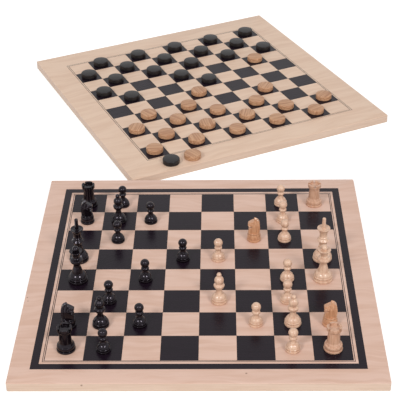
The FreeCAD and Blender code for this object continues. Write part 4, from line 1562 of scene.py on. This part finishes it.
@dataclass
class Studio:
    """White floor, two soft lamps beside the camera, even white surroundings and the camera.

    Attributes:
        floor_side: Side of the floor, in metres.
        floor_gap: How far the floor lies under the boards, in metres.
        lamps: Place, side in metres and power in watts of each lamp.
        aim: Point that the lamps look at.
        surroundings: Strength of the light from all round.
        paper: Grey of the floor's paper.
        glow: What the floor adds for rays that see it, so that it shows white.
        camera_place: Place of the camera, in metres.
        camera_turn: Turns of the camera, in degrees.
        lens: Focal length, in mm.
        sensor: Width of the sensor, in mm.
    """

    floor_side: float = 16.0
    floor_gap: float = 0.0002
    lamps: tuple[tuple[tuple[float, float, float], float, float], ...] = (
        ((-3.04, -4.04, 4.24), 1.2, 160.0),
        ((3.04, -4.04, 4.24), 1.2, 160.0),
    )
    aim: tuple[float, float, float] = (0.0, 0.12, 0.0)
    surroundings: float = 0.52
    paper: float = 0.65
    glow: float = 0.6
    camera_place: tuple[float, float, float] = (0.0288, -1.3486, 0.9992)
    camera_turn: tuple[float, float, float] = (57.254, 0.727, 0.711)
    lens: float = 104.26
    sensor: float = 36.0

    def build(self) -> None:
        """Set up the floor, the light and the camera."""
        self.build_floor()
        self.build_world()
        for order, (place, side, power) in enumerate(self.lamps, start=1):
            lamp = bpy.data.lights.new(f"softbox_{order}", "AREA")
            lamp.energy, lamp.size = power, side
            holder = put(lamp.name, lamp)
            holder.location = place
            holder.rotation_euler = (Vector(self.aim) - Vector(place)).to_track_quat("-Z", "Y").to_euler()
        lens = bpy.data.cameras.new("camera")
        lens.sensor_width, lens.lens = self.sensor, self.lens
        camera = put("camera", lens)
        camera.location = self.camera_place
        camera.rotation_euler = [math.radians(angle) for angle in self.camera_turn]
        bpy.context.scene.camera = camera
        bpy.context.scene.view_settings.view_transform = "Standard"

    def build_floor(self) -> None:
        """Lay a white floor that shows as white and keeps the shadows."""
        bm = bmesh.new()
        bmesh.ops.create_grid(bm, x_segments=8, y_segments=8, size=self.floor_side / 2)
        floor = put("floor", mesh_from(bm, "floor"))
        floor.location = (0.0, 0.0, -self.floor_gap)
        material = bpy.data.materials.new("white_paper_floor_matt")
        material.use_nodes = True
        nodes = Nodes(material.node_tree)
        nodes.tree.nodes.remove(nodes.tree.nodes["Principled BSDF"])
        paper = nodes.out("ShaderNodeBsdfDiffuse", {"Color": (self.paper, self.paper, self.paper, 1.0)})
        lift = nodes.reckon("MULTIPLY", white_rays(nodes), self.glow)
        glow = nodes.out("ShaderNodeEmission", {"Strength": lift})
        both = nodes.out("ShaderNodeAddShader", {0: paper, 1: glow})
        nodes.fill(nodes.tree.nodes["Material Output"], {"Surface": both})
        floor.data.materials.append(material)

    def build_world(self) -> None:
        """Surround the scene with white, at one strength for light and another for what shows."""
        world = bpy.data.worlds.new("white_surroundings")
        world.use_nodes = True
        nodes = Nodes(world.node_tree)
        light = {"Color": WHITE, "Strength": self.surroundings}
        lit = nodes.fill(nodes.tree.nodes["Background"], light).outputs[0]
        shown = nodes.out("ShaderNodeBackground", {"Color": WHITE, "Strength": 1.0})
        mixed = nodes.out("ShaderNodeMixShader", {0: white_rays(nodes), 1: lit, 2: shown})
        nodes.fill(nodes.tree.nodes["World Output"], {"Surface": mixed})
        bpy.context.scene.world = world


def main() -> None:
    """Build the set and its studio."""
    logging.basicConfig(level=logging.INFO, format="%(name)s: %(message)s")
    tiles, discs = tiles_tree(), draughts_tree()
    workshop = Workshop(turning_tree(), saw_tree(), KnightHead().carve())
    for board in (CHESS_BOARD, DRAUGHTS_BOARD):
        board.lay(tiles)
    bodies = frame["record"]["behaviour"]["bodies"]
    for order, body in enumerate(bodies):
        side_name, _, rest = body.partition("_")
        kind = rest.split("_")[0]
        if kind in OUTLINES:
            Chessman(body, Side(side_name), kind).build(workshop)
        elif kind in ("draughts", "draught") and side_name in (side.value for side in Side):
            DraughtGroup(body, Side(side_name), seed=order).build(discs)
    Studio().build()


if __name__ == "__main__":
    main()
